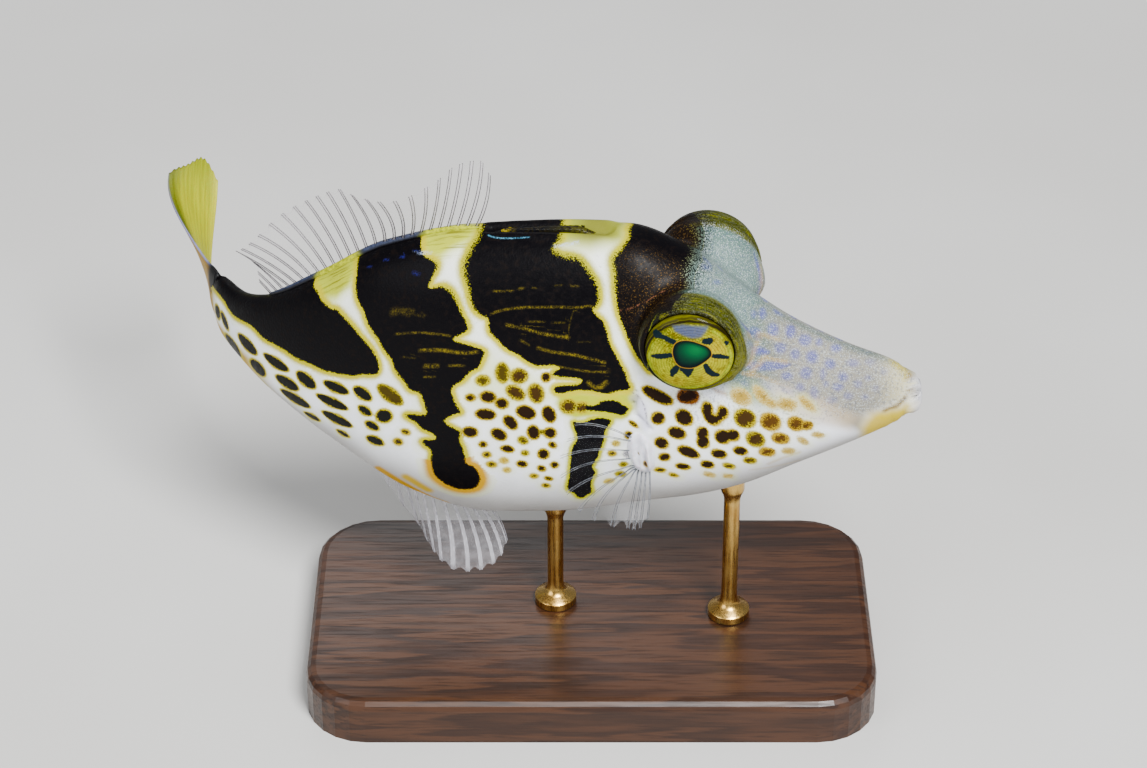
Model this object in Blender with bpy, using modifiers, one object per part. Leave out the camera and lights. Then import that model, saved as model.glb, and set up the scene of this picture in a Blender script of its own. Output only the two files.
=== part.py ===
"""A blacksaddle filefish at life size, swimming with its tail swung round to its left, on a display stand.

The fish is drawn in its own directions first. A station is the distance back from the mouth along the
spine, a side is the distance to the fish's left of the spine, and a height is the distance above the
mouth. Those sizes are in millimetres. point_at() then bends, tips and places them in the stand's frame.
"""

import math

import bmesh
import bpy
from mathutils import Matrix, Vector

MM = 0.001
GAP = 0.3  # left between pieces that touch

# The fish in the stand's frame: its mouth over the base, its nose a little raised
MOUTH = (25.0, -3.0, 27.5)
NOSE_UP = 3.7  # degrees
STANDARD_LENGTH = 62.0

# Station, height of the back, height of the belly and half the width
PROFILE = (
    (0.0, 1.76, -1.84, 1.09),
    (1.9, 2.85, -3.01, 1.63),
    (5.0, 4.05, -4.69, 2.28),
    (9.3, 6.23, -6.77, 3.29),
    (13.6, 9.35, -8.80, 4.39),
    (17.4, 12.45, -9.85, 5.34),
    (21.7, 14.25, -10.55, 5.84),
    (27.9, 14.45, -11.55, 6.04),
    (34.1, 14.35, -11.75, 5.41),
    (40.3, 12.70, -10.30, 4.34),
    (46.5, 8.90, -6.85, 3.03),
    (52.7, 5.15, -3.75, 1.90),
    (57.0, 3.80, -2.52, 1.38),
    (62.0, 3.45, -2.30, 1.01),
)
WIDEST_LEVEL = 0.45  # of the way up from the belly to the back
FULLNESS = 0.95  # 1 makes each cross-section an ellipse, and less makes it squarer

# Station and the degrees by which the spine is turned to the fish's left there
SPINE_TURN = ((0, 8.3), (18.6, 8.2), (31, 4.3), (38.4, 13.7), (44.6, 21.6), (49.6, 31.5), (54.6, 48.8),
              (58.9, 61.9), (62, 65.9))
SPINE_STEP = 0.25

# Where the body is parted, and how finely it is faceted
HEAD_END = 21.3
TORSO_END = 52.2
RING_POINTS = 28
STATION_STEP = 1.55

# The lips swell at the tip of the snout, and a shallow crease runs behind them: station, share of the size
LIPS = (
    (-0.62, 0.42), (-0.52, 0.72), (-0.25, 0.95), (0.1, 1.03), (0.5, 1.0), (0.85, 0.93), (1.3, 0.98),
    (2.0, 1.0),
)
LIPS_FROM = 2.9  # the body's even stations start behind the lips

# The line of the mouth, between the lips
MOUTH_LINE_HEIGHT = 0.15
MOUTH_LINE_DEPTH = 1.1
MOUTH_LINE_WIDTH = 0.22
MOUTH_LINE_BOW = 0.12

# Eyes: a ball in the cup of a domed turret on each side of the head
EYE_STATION = 16.4
EYE_HEIGHT = 7.95
EYE_SIDE = 5.85
TURRET_RADIUS = 4.0
TURRET_FLAT = 1.35  # from the turret's centre out to its flat rim
EYE_RADIUS = 3.25
EYE_HALF_DEPTH = 2.55
BROW = (14.0, 4.6, 6.6)  # station, side and height of the swelling in front of each turret
BROW_RADIUS = 2.15

NOSTRIL = (11.7, 6.0)  # station and height
NOSTRIL_RADIUS = 0.28
GILL_SLIT = ((20.75, 3.1), (20.0, -0.4))  # station and height of its ends
GILL_SLIT_DEPTH = 0.7
GILL_SLIT_WIDTH = 0.3

# The first dorsal spine, folded down in its groove along the back
SPINE_ROOT = 23.4
SPINE_TIP = 31.4
SPINE_ROOT_RADIUS = 0.55
SPINE_TIP_RADIUS = 0.28

# Fins are membranes with a ridge for each ray
MEMBRANE = 0.5
MEMBRANE_TIP = 0.32
RAY_RIDGE = 0.17  # how far a ray stands out of each face
RAY_COLUMNS = 3  # columns of points a ray: its crest, and two on the membrane
NOTCH = 0.07  # how far the membrane falls short of the rays' tips, as a share of the length

# Station, ray length, degrees that the ray leans back, degrees that it leans to the fish's left, and
# degrees by which it bends back by its tip
MEDIAN_ROWS = 5
DORSAL_RAYS = 26
DORSAL_FIN = (
    (33.4, 5.1, -30, 0, 26), (34.4, 6.2, -25, 3, 18), (36.0, 6.1, -20, 0, 10), (37.5, 5.6, -22, -12, 14),
    (39.2, 5.5, -21, -25, 28), (40.2, 5.4, -20, -23, 40), (41.3, 5.5, -8, -14, 34), (42.4, 5.9, 10, -3, 14),
    (44.3, 5.9, 18, 2, 18), (46.1, 5.8, 34, 8, 20), (47.6, 5.6, 46, 6, 32), (49.4, 5.7, 62, 3, 16),
    (50.6, 3.0, 50, 1, 14), (51.8, 1.6, 50, 0, 10),
)
ANAL_RAYS = 23
ANAL_FIN = (
    (34.6, 4.0, -36, -6, 30), (35.8, 5.8, -33, -8, 28), (37.0, 6.8, -29, -10, 31), (38.2, 7.2, -22, -10, 28),
    (39.2, 6.8, -10, -8, 10), (40.2, 6.4, -8, -3, 4), (41.2, 6.0, -8, 8, 6), (42.4, 5.6, 2, 24, 8),
    (44.0, 5.3, 18, 42, 12), (46.0, 5.0, 36, 46, 14), (49.0, 4.2, 50, 40, 14), (51.6, 2.4, 56, 30, 10),
)

# The tail fin, half closed: it twists as it goes back, until its left face looks up
CAUDAL_RAYS = 12
CAUDAL_LENGTH = 16.3
CAUDAL_ROOT_WIDTH = 5.2
CAUDAL_TIP_WIDTH = 4.1
CAUDAL_TURN = 28.5  # degrees further to the left by its tip
CAUDAL_RISE = ((0, 0), (0.12, 12), (1, 21.5))
CAUDAL_TWIST = (27.0, 77.0)  # degrees for the share of the length, and for its square
CAUDAL_ROUNDING = 0.12
CAUDAL_ROOT_THICKNESS = 1.3
CAUDAL_ROOT_SHARE = 0.3
CAUDAL_ROWS = 9

# Pectoral fins: a fan of rays round a fleshy root on each flank
PECTORAL_RAYS = 12
PECTORAL_ROOT = ((22.15, -0.9), (22.0, -4.3))  # station and height of its ends
# Share of the way down the root, ray length, and degrees that the ray points down from straight back
PECTORAL_FAN = (
    (0.0, 4.4, -19), (0.1, 4.8, 2), (0.3, 5.8, 35), (0.5, 5.7, 62), (0.7, 5.1, 86), (0.9, 4.3, 101),
    (1.0, 3.4, 112),
)
PECTORAL_ROOT_THICKNESS = 1.0
PECTORAL_ROOT_SHARE = 0.35
PECTORAL_ROWS = 7
PECTORAL_LIFT = 0.8  # how far the fleshy root stands out of the flank
PECTORAL_FLARE = 0.9  # how much further out the tips are

# The stand
BASE_SIZE = (46.0, 25.0, 4.0)
BASE_CORNER = 5.0
BASE_EDGE = 0.8
ROD_STATIONS = (("stand_rod_front", 14.5), ("stand_rod_rear", 29.0))
ROD_RADIUS = 0.65
ROD_FOOT_RADIUS = 1.7
ROD_SADDLE_RADIUS = 1.0
ROD_SIDES = 16

# Colour, roughness and how metallic each finish is
FINISHES = {
    "head_skin": ((0.62, 0.60, 0.50), 0.45, 0.0),
    "banded_skin": ((0.78, 0.76, 0.68), 0.42, 0.0),
    "tail_skin": ((0.80, 0.66, 0.16), 0.42, 0.0),
    "clear_fin": ((0.80, 0.79, 0.72), 0.35, 0.0),
    "yellow_fin": ((0.80, 0.72, 0.04), 0.38, 0.0),
    "spine_bone": ((0.10, 0.09, 0.07), 0.45, 0.0),
    "eye": ((0.62, 0.56, 0.05), 0.12, 0.0),
    "walnut": ((0.16, 0.085, 0.045), 0.42, 0.0),
    "brass": ((0.78, 0.60, 0.30), 0.28, 1.0),
}


def clear_scene():
    for thing in list(bpy.data.objects):
        bpy.data.objects.remove(thing, do_unlink=True)


def blend(rows, place):
    """The values beside `place` in a table of rows that start with a place, on a curve with no overshoot."""
    last = len(rows) - 1
    i = 0
    while i < last - 1 and place > rows[i + 1][0]:
        i += 1
    width = rows[i + 1][0] - rows[i][0]
    share = min(max((place - rows[i][0]) / width, 0.0), 1.0)
    values = []
    for column in range(1, len(rows[0])):
        start_slope = slope_at(rows, i, column) * width
        end_slope = slope_at(rows, i + 1, column) * width
        start, end = rows[i][column], rows[i + 1][column]
        square, cube = share * share, share ** 3
        values.append(start * (2 * cube - 3 * square + 1) + start_slope * (cube - 2 * square + share)
                      + end * (3 * square - 2 * cube) + end_slope * (cube - square))
    return values if len(values) > 1 else values[0]


def slope_at(rows, i, column):
    """The slope at row i: none at a peak, and otherwise the harmonic mean of the slopes beside it."""
    slopes = [
        (rows[k + 1][column] - rows[k][column]) / (rows[k + 1][0] - rows[k][0])
        for k in (i - 1, i) if 0 <= k < len(rows) - 1
    ]
    if len(slopes) == 1:
        return slopes[0]
    before, after = slopes
    return 2 * before * after / (before + after) if before * after > 0 else 0.0


def trace_spine():
    """Points along the bent spine, seen from above: station, forward, left and turn in radians."""
    points = [(0.0, 0.0, 0.0, math.radians(blend(SPINE_TURN, 0.0)))]
    while points[-1][0] < STANDARD_LENGTH:
        station, forward, left, turn = points[-1]
        middle = math.radians(blend(SPINE_TURN, station + SPINE_STEP / 2))
        forward -= math.cos(middle) * SPINE_STEP
        left += math.sin(middle) * SPINE_STEP
        station += SPINE_STEP
        points.append((station, forward, left, math.radians(blend(SPINE_TURN, station))))
    return points


SPINE = trace_spine()
PLACED = Matrix.Translation(Vector(MOUTH)) @ Matrix.Rotation(-math.radians(NOSE_UP), 4, "Y")


def spine_at(station):
    """Forward, left and turn of the spine, which runs straight on past either end."""
    inside = min(max(station, 0.0), STANDARD_LENGTH)
    i = min(int(inside / SPINE_STEP), len(SPINE) - 2)
    share = inside / SPINE_STEP - i
    forward, left, turn = (SPINE[i][k] * (1 - share) + SPINE[i + 1][k] * share for k in (1, 2, 3))
    beyond = station - inside
    return forward - math.cos(turn) * beyond, left + math.sin(turn) * beyond, turn


def directions_at(station):
    """Back along the spine, and to the fish's left, as placed."""
    turn = spine_at(station)[2]
    backward = Vector((-math.cos(turn), math.sin(turn), 0))
    leftward = Vector((math.sin(turn), math.cos(turn), 0))
    return PLACED.to_3x3() @ backward, PLACED.to_3x3() @ leftward


UP = PLACED.to_3x3() @ Vector((0, 0, 1))


def point_at(station, side, height):
    forward, left, turn = spine_at(station)
    return PLACED @ Vector((forward + math.sin(turn) * side, left + math.cos(turn) * side, height))


def section_at(station):
    """Back height, belly height, half width and widest height, with the swell of the lips."""
    back, belly, half_width = blend(PROFILE, max(station, 0.0))
    size = blend(LIPS, station) if station < LIPS[-1][0] else 1.0
    middle = (back + belly) / 2
    back, belly = middle + (back - middle) * size, middle + (belly - middle) * size
    return back, belly, half_width * size, belly + (back - belly) * WIDEST_LEVEL


def ring_point(station, angle):
    """A point of the body's cross-section: angle 0 on the left, a quarter turn on at the back."""
    back, belly, half_width, widest = section_at(station)
    across, upward = math.cos(angle), math.sin(angle)
    side = math.copysign(abs(across) ** FULLNESS, across) * half_width
    rise = abs(upward) ** FULLNESS
    height = widest + rise * (back - widest) if upward > 0 else widest - rise * (widest - belly)
    return side, height


def flank_side(station, height):
    """Half the body's width at a height."""
    back, belly, half_width, widest = section_at(station)
    share = (height - widest) / ((back - widest) if height > widest else (belly - widest))
    rise = min(abs(share), 1.0) ** (1 / FULLNESS)
    return half_width * math.sqrt(max(1 - rise * rise, 0.0)) ** FULLNESS


def flank_point(station, height, hand):
    """A point on a flank and the normal there. hand is 1 on the left, -1 on the right."""
    step = 0.2

    def on_skin(at, level):
        return point_at(at, hand * flank_side(at, level), level)

    along = on_skin(station + step, height) - on_skin(station - step, height)
    upward = on_skin(station, height + step) - on_skin(station, height - step)
    normal = upward.cross(along).normalized() * -hand
    return on_skin(station, height), normal


def new_object(name, mesh, home):
    made = bpy.data.objects.new(name, mesh)
    home.objects.link(made)
    return made


def mesh_from(name, points, faces):
    """A mesh from points in millimetres, with its faces turned out."""
    shape = bmesh.new()
    corners = [shape.verts.new(point * MM) for point in points]
    for face in faces:
        shape.faces.new([corners[i] for i in face])
    bmesh.ops.recalc_face_normals(shape, faces=shape.faces)
    mesh = bpy.data.meshes.new(name)
    shape.to_mesh(mesh)
    shape.free()
    return mesh


def lofted(name, rings):
    """A closed mesh through rings of the same number of points, with a flat cap at each end."""
    count = len(rings[0])
    faces = [tuple(range(count)), tuple(range((len(rings) - 1) * count, len(rings) * count))]
    for r in range(len(rings) - 1):
        for i in range(count):
            j = (i + 1) % count
            faces.append((r * count + i, r * count + j, (r + 1) * count + j, (r + 1) * count + i))
    return mesh_from(name, [point for ring in rings for point in ring], faces)


def body_ring(station):
    turn = 2 * math.pi / RING_POINTS
    return [point_at(station, *ring_point(station, turn * (i + 0.5))) for i in range(RING_POINTS)]


def body_length(name, start, end, home, first_stations=()):
    """The stretch of the body between two stations."""
    steps = max(round((end - start) / STATION_STEP), 2)
    stations = list(first_stations) + [start + (end - start) * i / steps for i in range(steps + 1)]
    return new_object(name, lofted(name, [body_ring(station) for station in stations]), home)


def spheroid(name, centre, axis_turn, radii, home, segments=20, rings=12):
    """A ball at a place in millimetres, stretched along its own axes, with its poles along the turned Z."""
    shape = bmesh.new()
    bmesh.ops.create_uvsphere(shape, u_segments=segments, v_segments=rings, radius=MM)
    stretch = Matrix.Diagonal((*radii, 1.0))
    shape.transform(Matrix.Translation(centre * MM) @ axis_turn.to_4x4() @ stretch)
    mesh = bpy.data.meshes.new(name)
    shape.to_mesh(mesh)
    shape.free()
    return new_object(name, mesh, home)


def block(name, centre, axis_turn, size, home):
    """A box at a place in millimetres, turned, as a cutter."""
    shape = bmesh.new()
    bmesh.ops.create_cube(shape, size=MM)
    stretch = Matrix.Diagonal((*size, 1.0))
    shape.transform(Matrix.Translation(centre * MM) @ axis_turn.to_4x4() @ stretch)
    mesh = bpy.data.meshes.new(name)
    shape.to_mesh(mesh)
    shape.free()
    return new_object(name, mesh, home)


def turned_to(along, upward):
    """The rotation whose Z runs `along`, with its Y as near `upward` as it can be."""
    z = along.normalized()
    x = upward.cross(z).normalized()
    return Matrix((x, z.cross(x), z)).transposed()


def round_bar(name, path, radii, home, sides=12):
    """A round bar through a path in millimetres, with a radius for each point of it."""
    rings = []
    for i, point in enumerate(path):
        ahead = path[min(i + 1, len(path) - 1)] - path[max(i - 1, 0)]
        frame = turned_to(ahead, UP)
        ring = []
        for k in range(sides):
            angle = 2 * math.pi * (k + 0.5) / sides
            ring.append(point + frame @ Vector((math.cos(angle), math.sin(angle), 0)) * radii[i])
        rings.append(ring)
    return new_object(name, lofted(name, rings), home)


def applied(target, operation, tools, solver="EXACT"):
    """Joins or cuts with all the tools at once, then removes them and keeps the largest closed surface."""
    kit = bpy.data.collections.new("kit")
    for tool in tools:
        kit.objects.link(tool)
    modifier = target.modifiers.new(operation.lower(), "BOOLEAN")
    modifier.operation = operation
    modifier.solver = solver
    modifier.operand_type = "COLLECTION"
    modifier.collection = kit
    bpy.context.view_layer.update()
    evaluated = target.evaluated_get(bpy.context.evaluated_depsgraph_get())
    result = bpy.data.meshes.new_from_object(evaluated)
    target.modifiers.clear()
    target.data = result
    for tool in tools:
        bpy.data.objects.remove(tool, do_unlink=True)
    bpy.data.collections.remove(kit)
    keep_largest(target)


def keep_largest(target):
    shape = bmesh.new()
    shape.from_mesh(target.data)
    unseen = set(shape.verts)
    islands = []
    while unseen:
        island, edge_of_it = set(), [unseen.pop()]
        while edge_of_it:
            vert = edge_of_it.pop()
            island.add(vert)
            for edge in vert.link_edges:
                other = edge.other_vert(vert)
                if other in unseen:
                    unseen.remove(other)
                    edge_of_it.append(other)
        islands.append(island)
    largest = max(islands, key=len)
    bmesh.ops.delete(shape, geom=[vert for vert in shape.verts if vert not in largest], context="VERTS")
    shape.to_mesh(target.data)
    shape.free()


def fin_sheet(name, rays, rows, middle_at, half_thickness_at, home):
    """A closed fin: a middle surface given for each column and row, with a face on either side of it."""
    columns = (rays - 1) * RAY_COLUMNS + 1
    grid = []
    for c in range(columns):
        crest = c % RAY_COLUMNS == 0
        reach = 1.0 if crest else 1.0 - NOTCH
        grid.append([middle_at(c / (columns - 1), r / rows * reach) for r in range(rows + 1)])
    points = []
    for side in (1, -1):
        for c in range(columns):
            crest = c % RAY_COLUMNS == 0
            for r in range(rows + 1):
                across = grid[min(c + 1, columns - 1)][r] - grid[max(c - 1, 0)][r]
                outward = grid[c][min(r + 1, rows)] - grid[c][max(r - 1, 0)]
                normal = across.cross(outward).normalized()
                points.append(grid[c][r] + normal * (side * half_thickness_at(r / rows, crest)))
    faces = []
    face_points = columns * (rows + 1)

    def index(side, c, r):
        return side * face_points + c * (rows + 1) + r

    for c in range(columns - 1):
        for r in range(rows):
            for side in (0, 1):
                low, high = index(side, c, r), index(side, c + 1, r + 1)
                faces.append((low, index(side, c + 1, r), high))
                faces.append((low, high, index(side, c, r + 1)))
    for c in range(columns - 1):
        for r in (0, rows):
            faces.append((index(0, c, r), index(0, c + 1, r), index(1, c + 1, r), index(1, c, r)))
    for r in range(rows):
        for c in (0, columns - 1):
            faces.append((index(0, c, r), index(0, c, r + 1), index(1, c, r + 1), index(1, c, r)))
    return new_object(name, mesh_from(name, points, faces), home)


def thin_fin(share, crest):
    """Half the thickness of a clear fin at a share of its length."""
    half = (MEMBRANE + (MEMBRANE_TIP - MEMBRANE) * share) / 2
    return half + (RAY_RIDGE * (1 - 0.6 * share) if crest else 0.0)


def fleshy_fin(root_thickness, root_share):
    """Half the thickness of a fin that starts from a thick root, which the rays grow out of."""

    def half_thickness(share, crest):
        root = max(1 - share / root_share, 0.0) ** 2
        half = thin_fin(share, False) * (1 - root) + root_thickness / 2 * root
        return half + (RAY_RIDGE * min(share / root_share, 1.0) * (1 - 0.5 * share) if crest else 0.0)

    return half_thickness


def median_fin(name, rows_of_rays, rays, upward, home):
    """A fin on the back (upward is 1) or under the belly (upward is -1)."""
    start, end = rows_of_rays[0][0], rows_of_rays[-1][0]
    crest_half = MEMBRANE / 2 + RAY_RIDGE

    def middle_at(column_share, ray_share):
        station = start + (end - start) * column_share
        length, back_lean, left_lean, curl = blend(rows_of_rays, station)
        back, belly = section_at(station)[:2]
        lean = math.radians(left_lean)
        off_skin = GAP + crest_half * abs(math.sin(lean))
        root = point_at(station, 0.0, back + off_skin if upward > 0 else belly - off_skin)
        backward, leftward = directions_at(station)
        angle = math.radians(back_lean + curl * ray_share / 2)
        run, rise = length * ray_share * math.sin(angle), length * ray_share * math.cos(angle)
        sideways = leftward * (rise * math.sin(lean))
        return root + backward * run + UP * (upward * rise * math.cos(lean)) + sideways

    return fin_sheet(name, rays, MEDIAN_ROWS, middle_at, thin_fin, home)


def caudal_fin(home):
    """The tail fin, from the flat end of the tail along a line that turns, rises and twists."""
    steps = 40
    back, belly = section_at(STANDARD_LENGTH)[:2]
    start_turn = spine_at(STANDARD_LENGTH)[2]
    turned = PLACED.to_3x3()
    line = [point_at(STANDARD_LENGTH + GAP, 0.0, (back + belly) / 2)]

    def heading(share):
        turn = start_turn + math.radians(CAUDAL_TURN) * share
        rise = math.radians(blend(CAUDAL_RISE, share))
        return Vector((-math.cos(turn) * math.cos(rise), math.sin(turn) * math.cos(rise), math.sin(rise)))

    for i in range(steps):
        line.append(line[-1] + turned @ heading((i + 0.5) / steps) * (CAUDAL_LENGTH / steps))

    def middle_at(column_share, ray_share):
        across = 0.5 - column_share
        share = ray_share * (1 - CAUDAL_ROUNDING * (2 * across) ** 2)
        i = min(int(share * steps), steps - 1)
        centre = line[i].lerp(line[i + 1], share * steps - i)
        ahead = heading(share)
        level = Vector((-ahead.y, ahead.x, 0)).normalized() * -1
        raised = level.cross(ahead).normalized()
        raised = raised if raised.z > 0 else -raised
        twist = math.radians(CAUDAL_TWIST[0] * share + CAUDAL_TWIST[1] * share * share)
        width = CAUDAL_ROOT_WIDTH + (CAUDAL_TIP_WIDTH - CAUDAL_ROOT_WIDTH) * share
        edge = raised * math.cos(twist) - level * math.sin(twist)
        return centre + turned @ edge * (across * width)

    return fin_sheet("caudal_fin", CAUDAL_RAYS, CAUDAL_ROWS, middle_at,
                     fleshy_fin(CAUDAL_ROOT_THICKNESS, CAUDAL_ROOT_SHARE), home)


def pectoral_fin(name, hand, home):
    """The fan of rays on one flank. hand is 1 on the left, -1 on the right."""

    def middle_at(column_share, ray_share):
        (high_station, high), (low_station, low) = PECTORAL_ROOT
        station = high_station + (low_station - high_station) * column_share
        height = high + (low - high) * column_share
        root, outward = flank_point(station, height, hand)
        backward = directions_at(station)[0]
        length, downward = blend(PECTORAL_FAN, column_share)
        angle = math.radians(downward)
        reach = backward * math.cos(angle) - UP * math.sin(angle)
        lift = GAP + PECTORAL_LIFT * (1 - math.exp(-7 * ray_share)) + PECTORAL_FLARE * ray_share
        return root + outward * lift + reach * (length * ray_share)

    return fin_sheet(name, PECTORAL_RAYS, PECTORAL_ROWS, middle_at,
                     fleshy_fin(PECTORAL_ROOT_THICKNESS, PECTORAL_ROOT_SHARE), home)


def head(home, cutters):
    made = body_length("head", LIPS_FROM, HEAD_END - GAP / 2, home, [station for station, size in LIPS])
    leftward = directions_at(EYE_STATION)[1]
    for hand in (1, -1):
        outward = leftward * hand
        centre = point_at(EYE_STATION, hand * EYE_SIDE, EYE_HEIGHT)
        facing = turned_to(outward, UP)
        turret = spheroid("turret", centre, facing, (TURRET_RADIUS,) * 3, cutters)
        brow_station, brow_side, brow_height = BROW
        brow_place = point_at(brow_station, hand * brow_side, brow_height)
        brow = spheroid("brow", brow_place, facing, (BROW_RADIUS,) * 3, cutters)
        applied(made, "UNION", [turret, brow])
        rim = block("rim", centre + outward * (TURRET_FLAT + 5.0), facing, (12.0, 12.0, 10.0), cutters)
        cup_radii = (EYE_RADIUS + GAP, EYE_RADIUS + GAP, EYE_HALF_DEPTH + GAP)
        cup = spheroid("cup", centre, facing, cup_radii, cutters)
        station, height = NOSTRIL
        nostril_place, nostril_out = flank_point(station, height, hand)
        nostril = round_bar("nostril", [nostril_place - nostril_out * 0.7, nostril_place + nostril_out],
                            [NOSTRIL_RADIUS] * 2, cutters, 8)
        applied(made, "DIFFERENCE", [rim, cup, nostril, gill_cutter(hand, cutters)])
    applied(made, "DIFFERENCE", [mouth_cutter(cutters)])
    return made


def gill_cutter(hand, cutters):
    """A thin curved blade that follows the flank, for the gill slit."""
    rings = []
    (high_station, high), (low_station, low) = GILL_SLIT
    for i in range(5):
        share = i / 4
        bow = 0.35 * math.sin(math.pi * share)
        station = high_station + (low_station - high_station) * share + bow
        height = high + (low - high) * share
        place, outward = flank_point(station, height, hand)
        backward = directions_at(station)[0] * (GILL_SLIT_WIDTH / 2)
        inner, outer = place - outward * GILL_SLIT_DEPTH, place + outward
        rings.append([inner - backward, outer - backward, outer + backward, inner + backward])
    return new_object("gill_slit", lofted("gill_slit", rings), cutters)


def mouth_cutter(cutters):
    """A flat blade between the lips, bowed down towards the corners of the mouth."""
    rings = []
    for i in range(7):
        side = -2.4 + 4.8 * i / 6
        bow = -MOUTH_LINE_BOW * side * side
        front = point_at(-1.5, side, MOUTH_LINE_HEIGHT + bow)
        inner = point_at(-0.62 + MOUTH_LINE_DEPTH, side, MOUTH_LINE_HEIGHT + bow)
        half = UP * (MOUTH_LINE_WIDTH / 2)
        rings.append([front - half, inner - half, inner + half, front + half])
    return new_object("mouth_line", lofted("mouth_line", rings), cutters)


def spine_path(extra):
    """The folded spine's centre line along the back, longer by `extra` at each end, and its radii."""
    path, radii = [], []
    steps = 8
    for i in range(steps + 1):
        share = i / steps
        station = SPINE_ROOT - extra + (SPINE_TIP - SPINE_ROOT + 2 * extra) * share
        radius = SPINE_ROOT_RADIUS + (SPINE_TIP_RADIUS - SPINE_ROOT_RADIUS) * share
        path.append(point_at(station, 0.0, section_at(station)[0] + 0.05))
        radii.append(radius)
    return path, radii


def torso(home, cutters):
    made = body_length("torso", HEAD_END + GAP / 2, TORSO_END - GAP / 2, home)
    path, radii = spine_path(GAP)
    groove = round_bar("groove", path, [radius + GAP for radius in radii], cutters)
    applied(made, "DIFFERENCE", [groove])
    return made


def dorsal_spine(home):
    path, radii = spine_path(0.0)
    return round_bar("dorsal_spine", path, radii, home, 10)


def eye(name, hand, home):
    outward = directions_at(EYE_STATION)[1] * hand
    centre = point_at(EYE_STATION, hand * EYE_SIDE, EYE_HEIGHT)
    radii = (EYE_RADIUS, EYE_RADIUS, EYE_HALF_DEPTH)
    return spheroid(name, centre, turned_to(outward, UP), radii, home, 20, 10)


def stand_base(home):
    """A slab with round corners and a softened top edge, its underside on the floor at the origin."""
    shape = bmesh.new()
    bmesh.ops.create_cube(shape, size=1.0)
    width, depth, height = BASE_SIZE
    stretch = Matrix.Diagonal((width * MM, depth * MM, height * MM, 1))
    shape.transform(Matrix.Translation((0, 0, height * MM / 2)) @ stretch)
    upright = [edge for edge in shape.edges if abs(edge.verts[0].co.z - edge.verts[1].co.z) > MM]
    bmesh.ops.bevel(shape, geom=upright, offset=BASE_CORNER * MM, segments=6, profile=0.5, affect="EDGES")
    top = [edge for edge in shape.edges if min(vert.co.z for vert in edge.verts) > (height - 0.01) * MM]
    bmesh.ops.bevel(shape, geom=top, offset=BASE_EDGE * MM, segments=3, profile=0.5, affect="EDGES")
    mesh = bpy.data.meshes.new("stand_base")
    shape.to_mesh(mesh)
    shape.free()
    return new_object("stand_base", mesh, home)


def stand_rod(name, station, home):
    """A turned rod from the base up to the belly, with a flared foot and a small saddle on top."""
    belly = [point_at(at, 0.0, section_at(at)[1]) for at in
             (station, station - ROD_SADDLE_RADIUS, station + ROD_SADDLE_RADIUS)]
    foot_z = BASE_SIZE[2] + GAP
    length = min(point.z for point in belly) - GAP - foot_z
    outline = [
        (0.0, length), (ROD_SADDLE_RADIUS, length), (ROD_RADIUS, length - 1.0), (ROD_RADIUS, 1.5),
        (ROD_RADIUS + 0.25, 0.9), (ROD_FOOT_RADIUS, 0.5), (ROD_FOOT_RADIUS, 0.0), (0.0, 0.0),
    ]
    mesh = bpy.data.meshes.new(name)
    corners = [(radius * MM, 0.0, height * MM) for radius, height in outline]
    mesh.from_pydata(corners, [(i, i + 1) for i in range(len(corners) - 1)], [])
    made = new_object(name, mesh, home)
    made.location = (belly[0].x * MM, belly[0].y * MM, foot_z * MM)
    screw = made.modifiers.new("turned", "SCREW")
    screw.steps = screw.render_steps = ROD_SIDES
    screw.use_merge_vertices = True
    screw.merge_threshold = 0.00001
    return made


def finish(made, finish_name):
    """Gives a piece its own material, and smooth shading with sharp corners kept."""
    colour, roughness, metallic = FINISHES[finish_name]
    material = bpy.data.materials.new(made.name + "_" + finish_name)
    material.use_nodes = True
    shader = material.node_tree.nodes["Principled BSDF"]
    shader.inputs["Base Color"].default_value = (*colour, 1.0)
    shader.inputs["Roughness"].default_value = roughness
    shader.inputs["Metallic"].default_value = metallic
    made.data.materials.clear()
    made.data.materials.append(material)
    made.data.shade_smooth()
    made.data.set_sharp_from_angle(angle=math.radians(40))


def main():
    clear_scene()
    fish = bpy.data.collections.new("blacksaddle_filefish")
    cutters = bpy.data.collections.new("cutters")
    for group in (fish, cutters):
        bpy.context.scene.collection.children.link(group)
    finish(head(fish, cutters), "head_skin")
    finish(torso(fish, cutters), "banded_skin")
    finish(body_length("tail", TORSO_END + GAP / 2, STANDARD_LENGTH, fish), "tail_skin")
    finish(dorsal_spine(fish), "spine_bone")
    finish(median_fin("dorsal_fin", DORSAL_FIN, DORSAL_RAYS, 1, fish), "clear_fin")
    finish(median_fin("anal_fin", ANAL_FIN, ANAL_RAYS, -1, fish), "clear_fin")
    finish(caudal_fin(fish), "yellow_fin")
    for side_name, hand in (("left", 1), ("right", -1)):
        finish(pectoral_fin("pectoral_fin_" + side_name, hand, fish), "clear_fin")
        finish(eye("eye_" + side_name, hand, fish), "eye")
    finish(stand_base(fish), "walnut")
    for name, station in ROD_STATIONS:
        finish(stand_rod(name, station, fish), "brass")


main()
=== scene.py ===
"""The looks of the blacksaddle filefish on its display stand.

Sizes are in millimetres until a mesh is made. The fish has directions of its own: a station is the distance
back from the mouth along the spine, a side is the distance to the fish's left, a height is the distance above
the mouth, and the girth is the distance down the flank from the middle of the back.
"""

import math

import bpy
import numpy as np
from mathutils import Matrix, Vector


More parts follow.
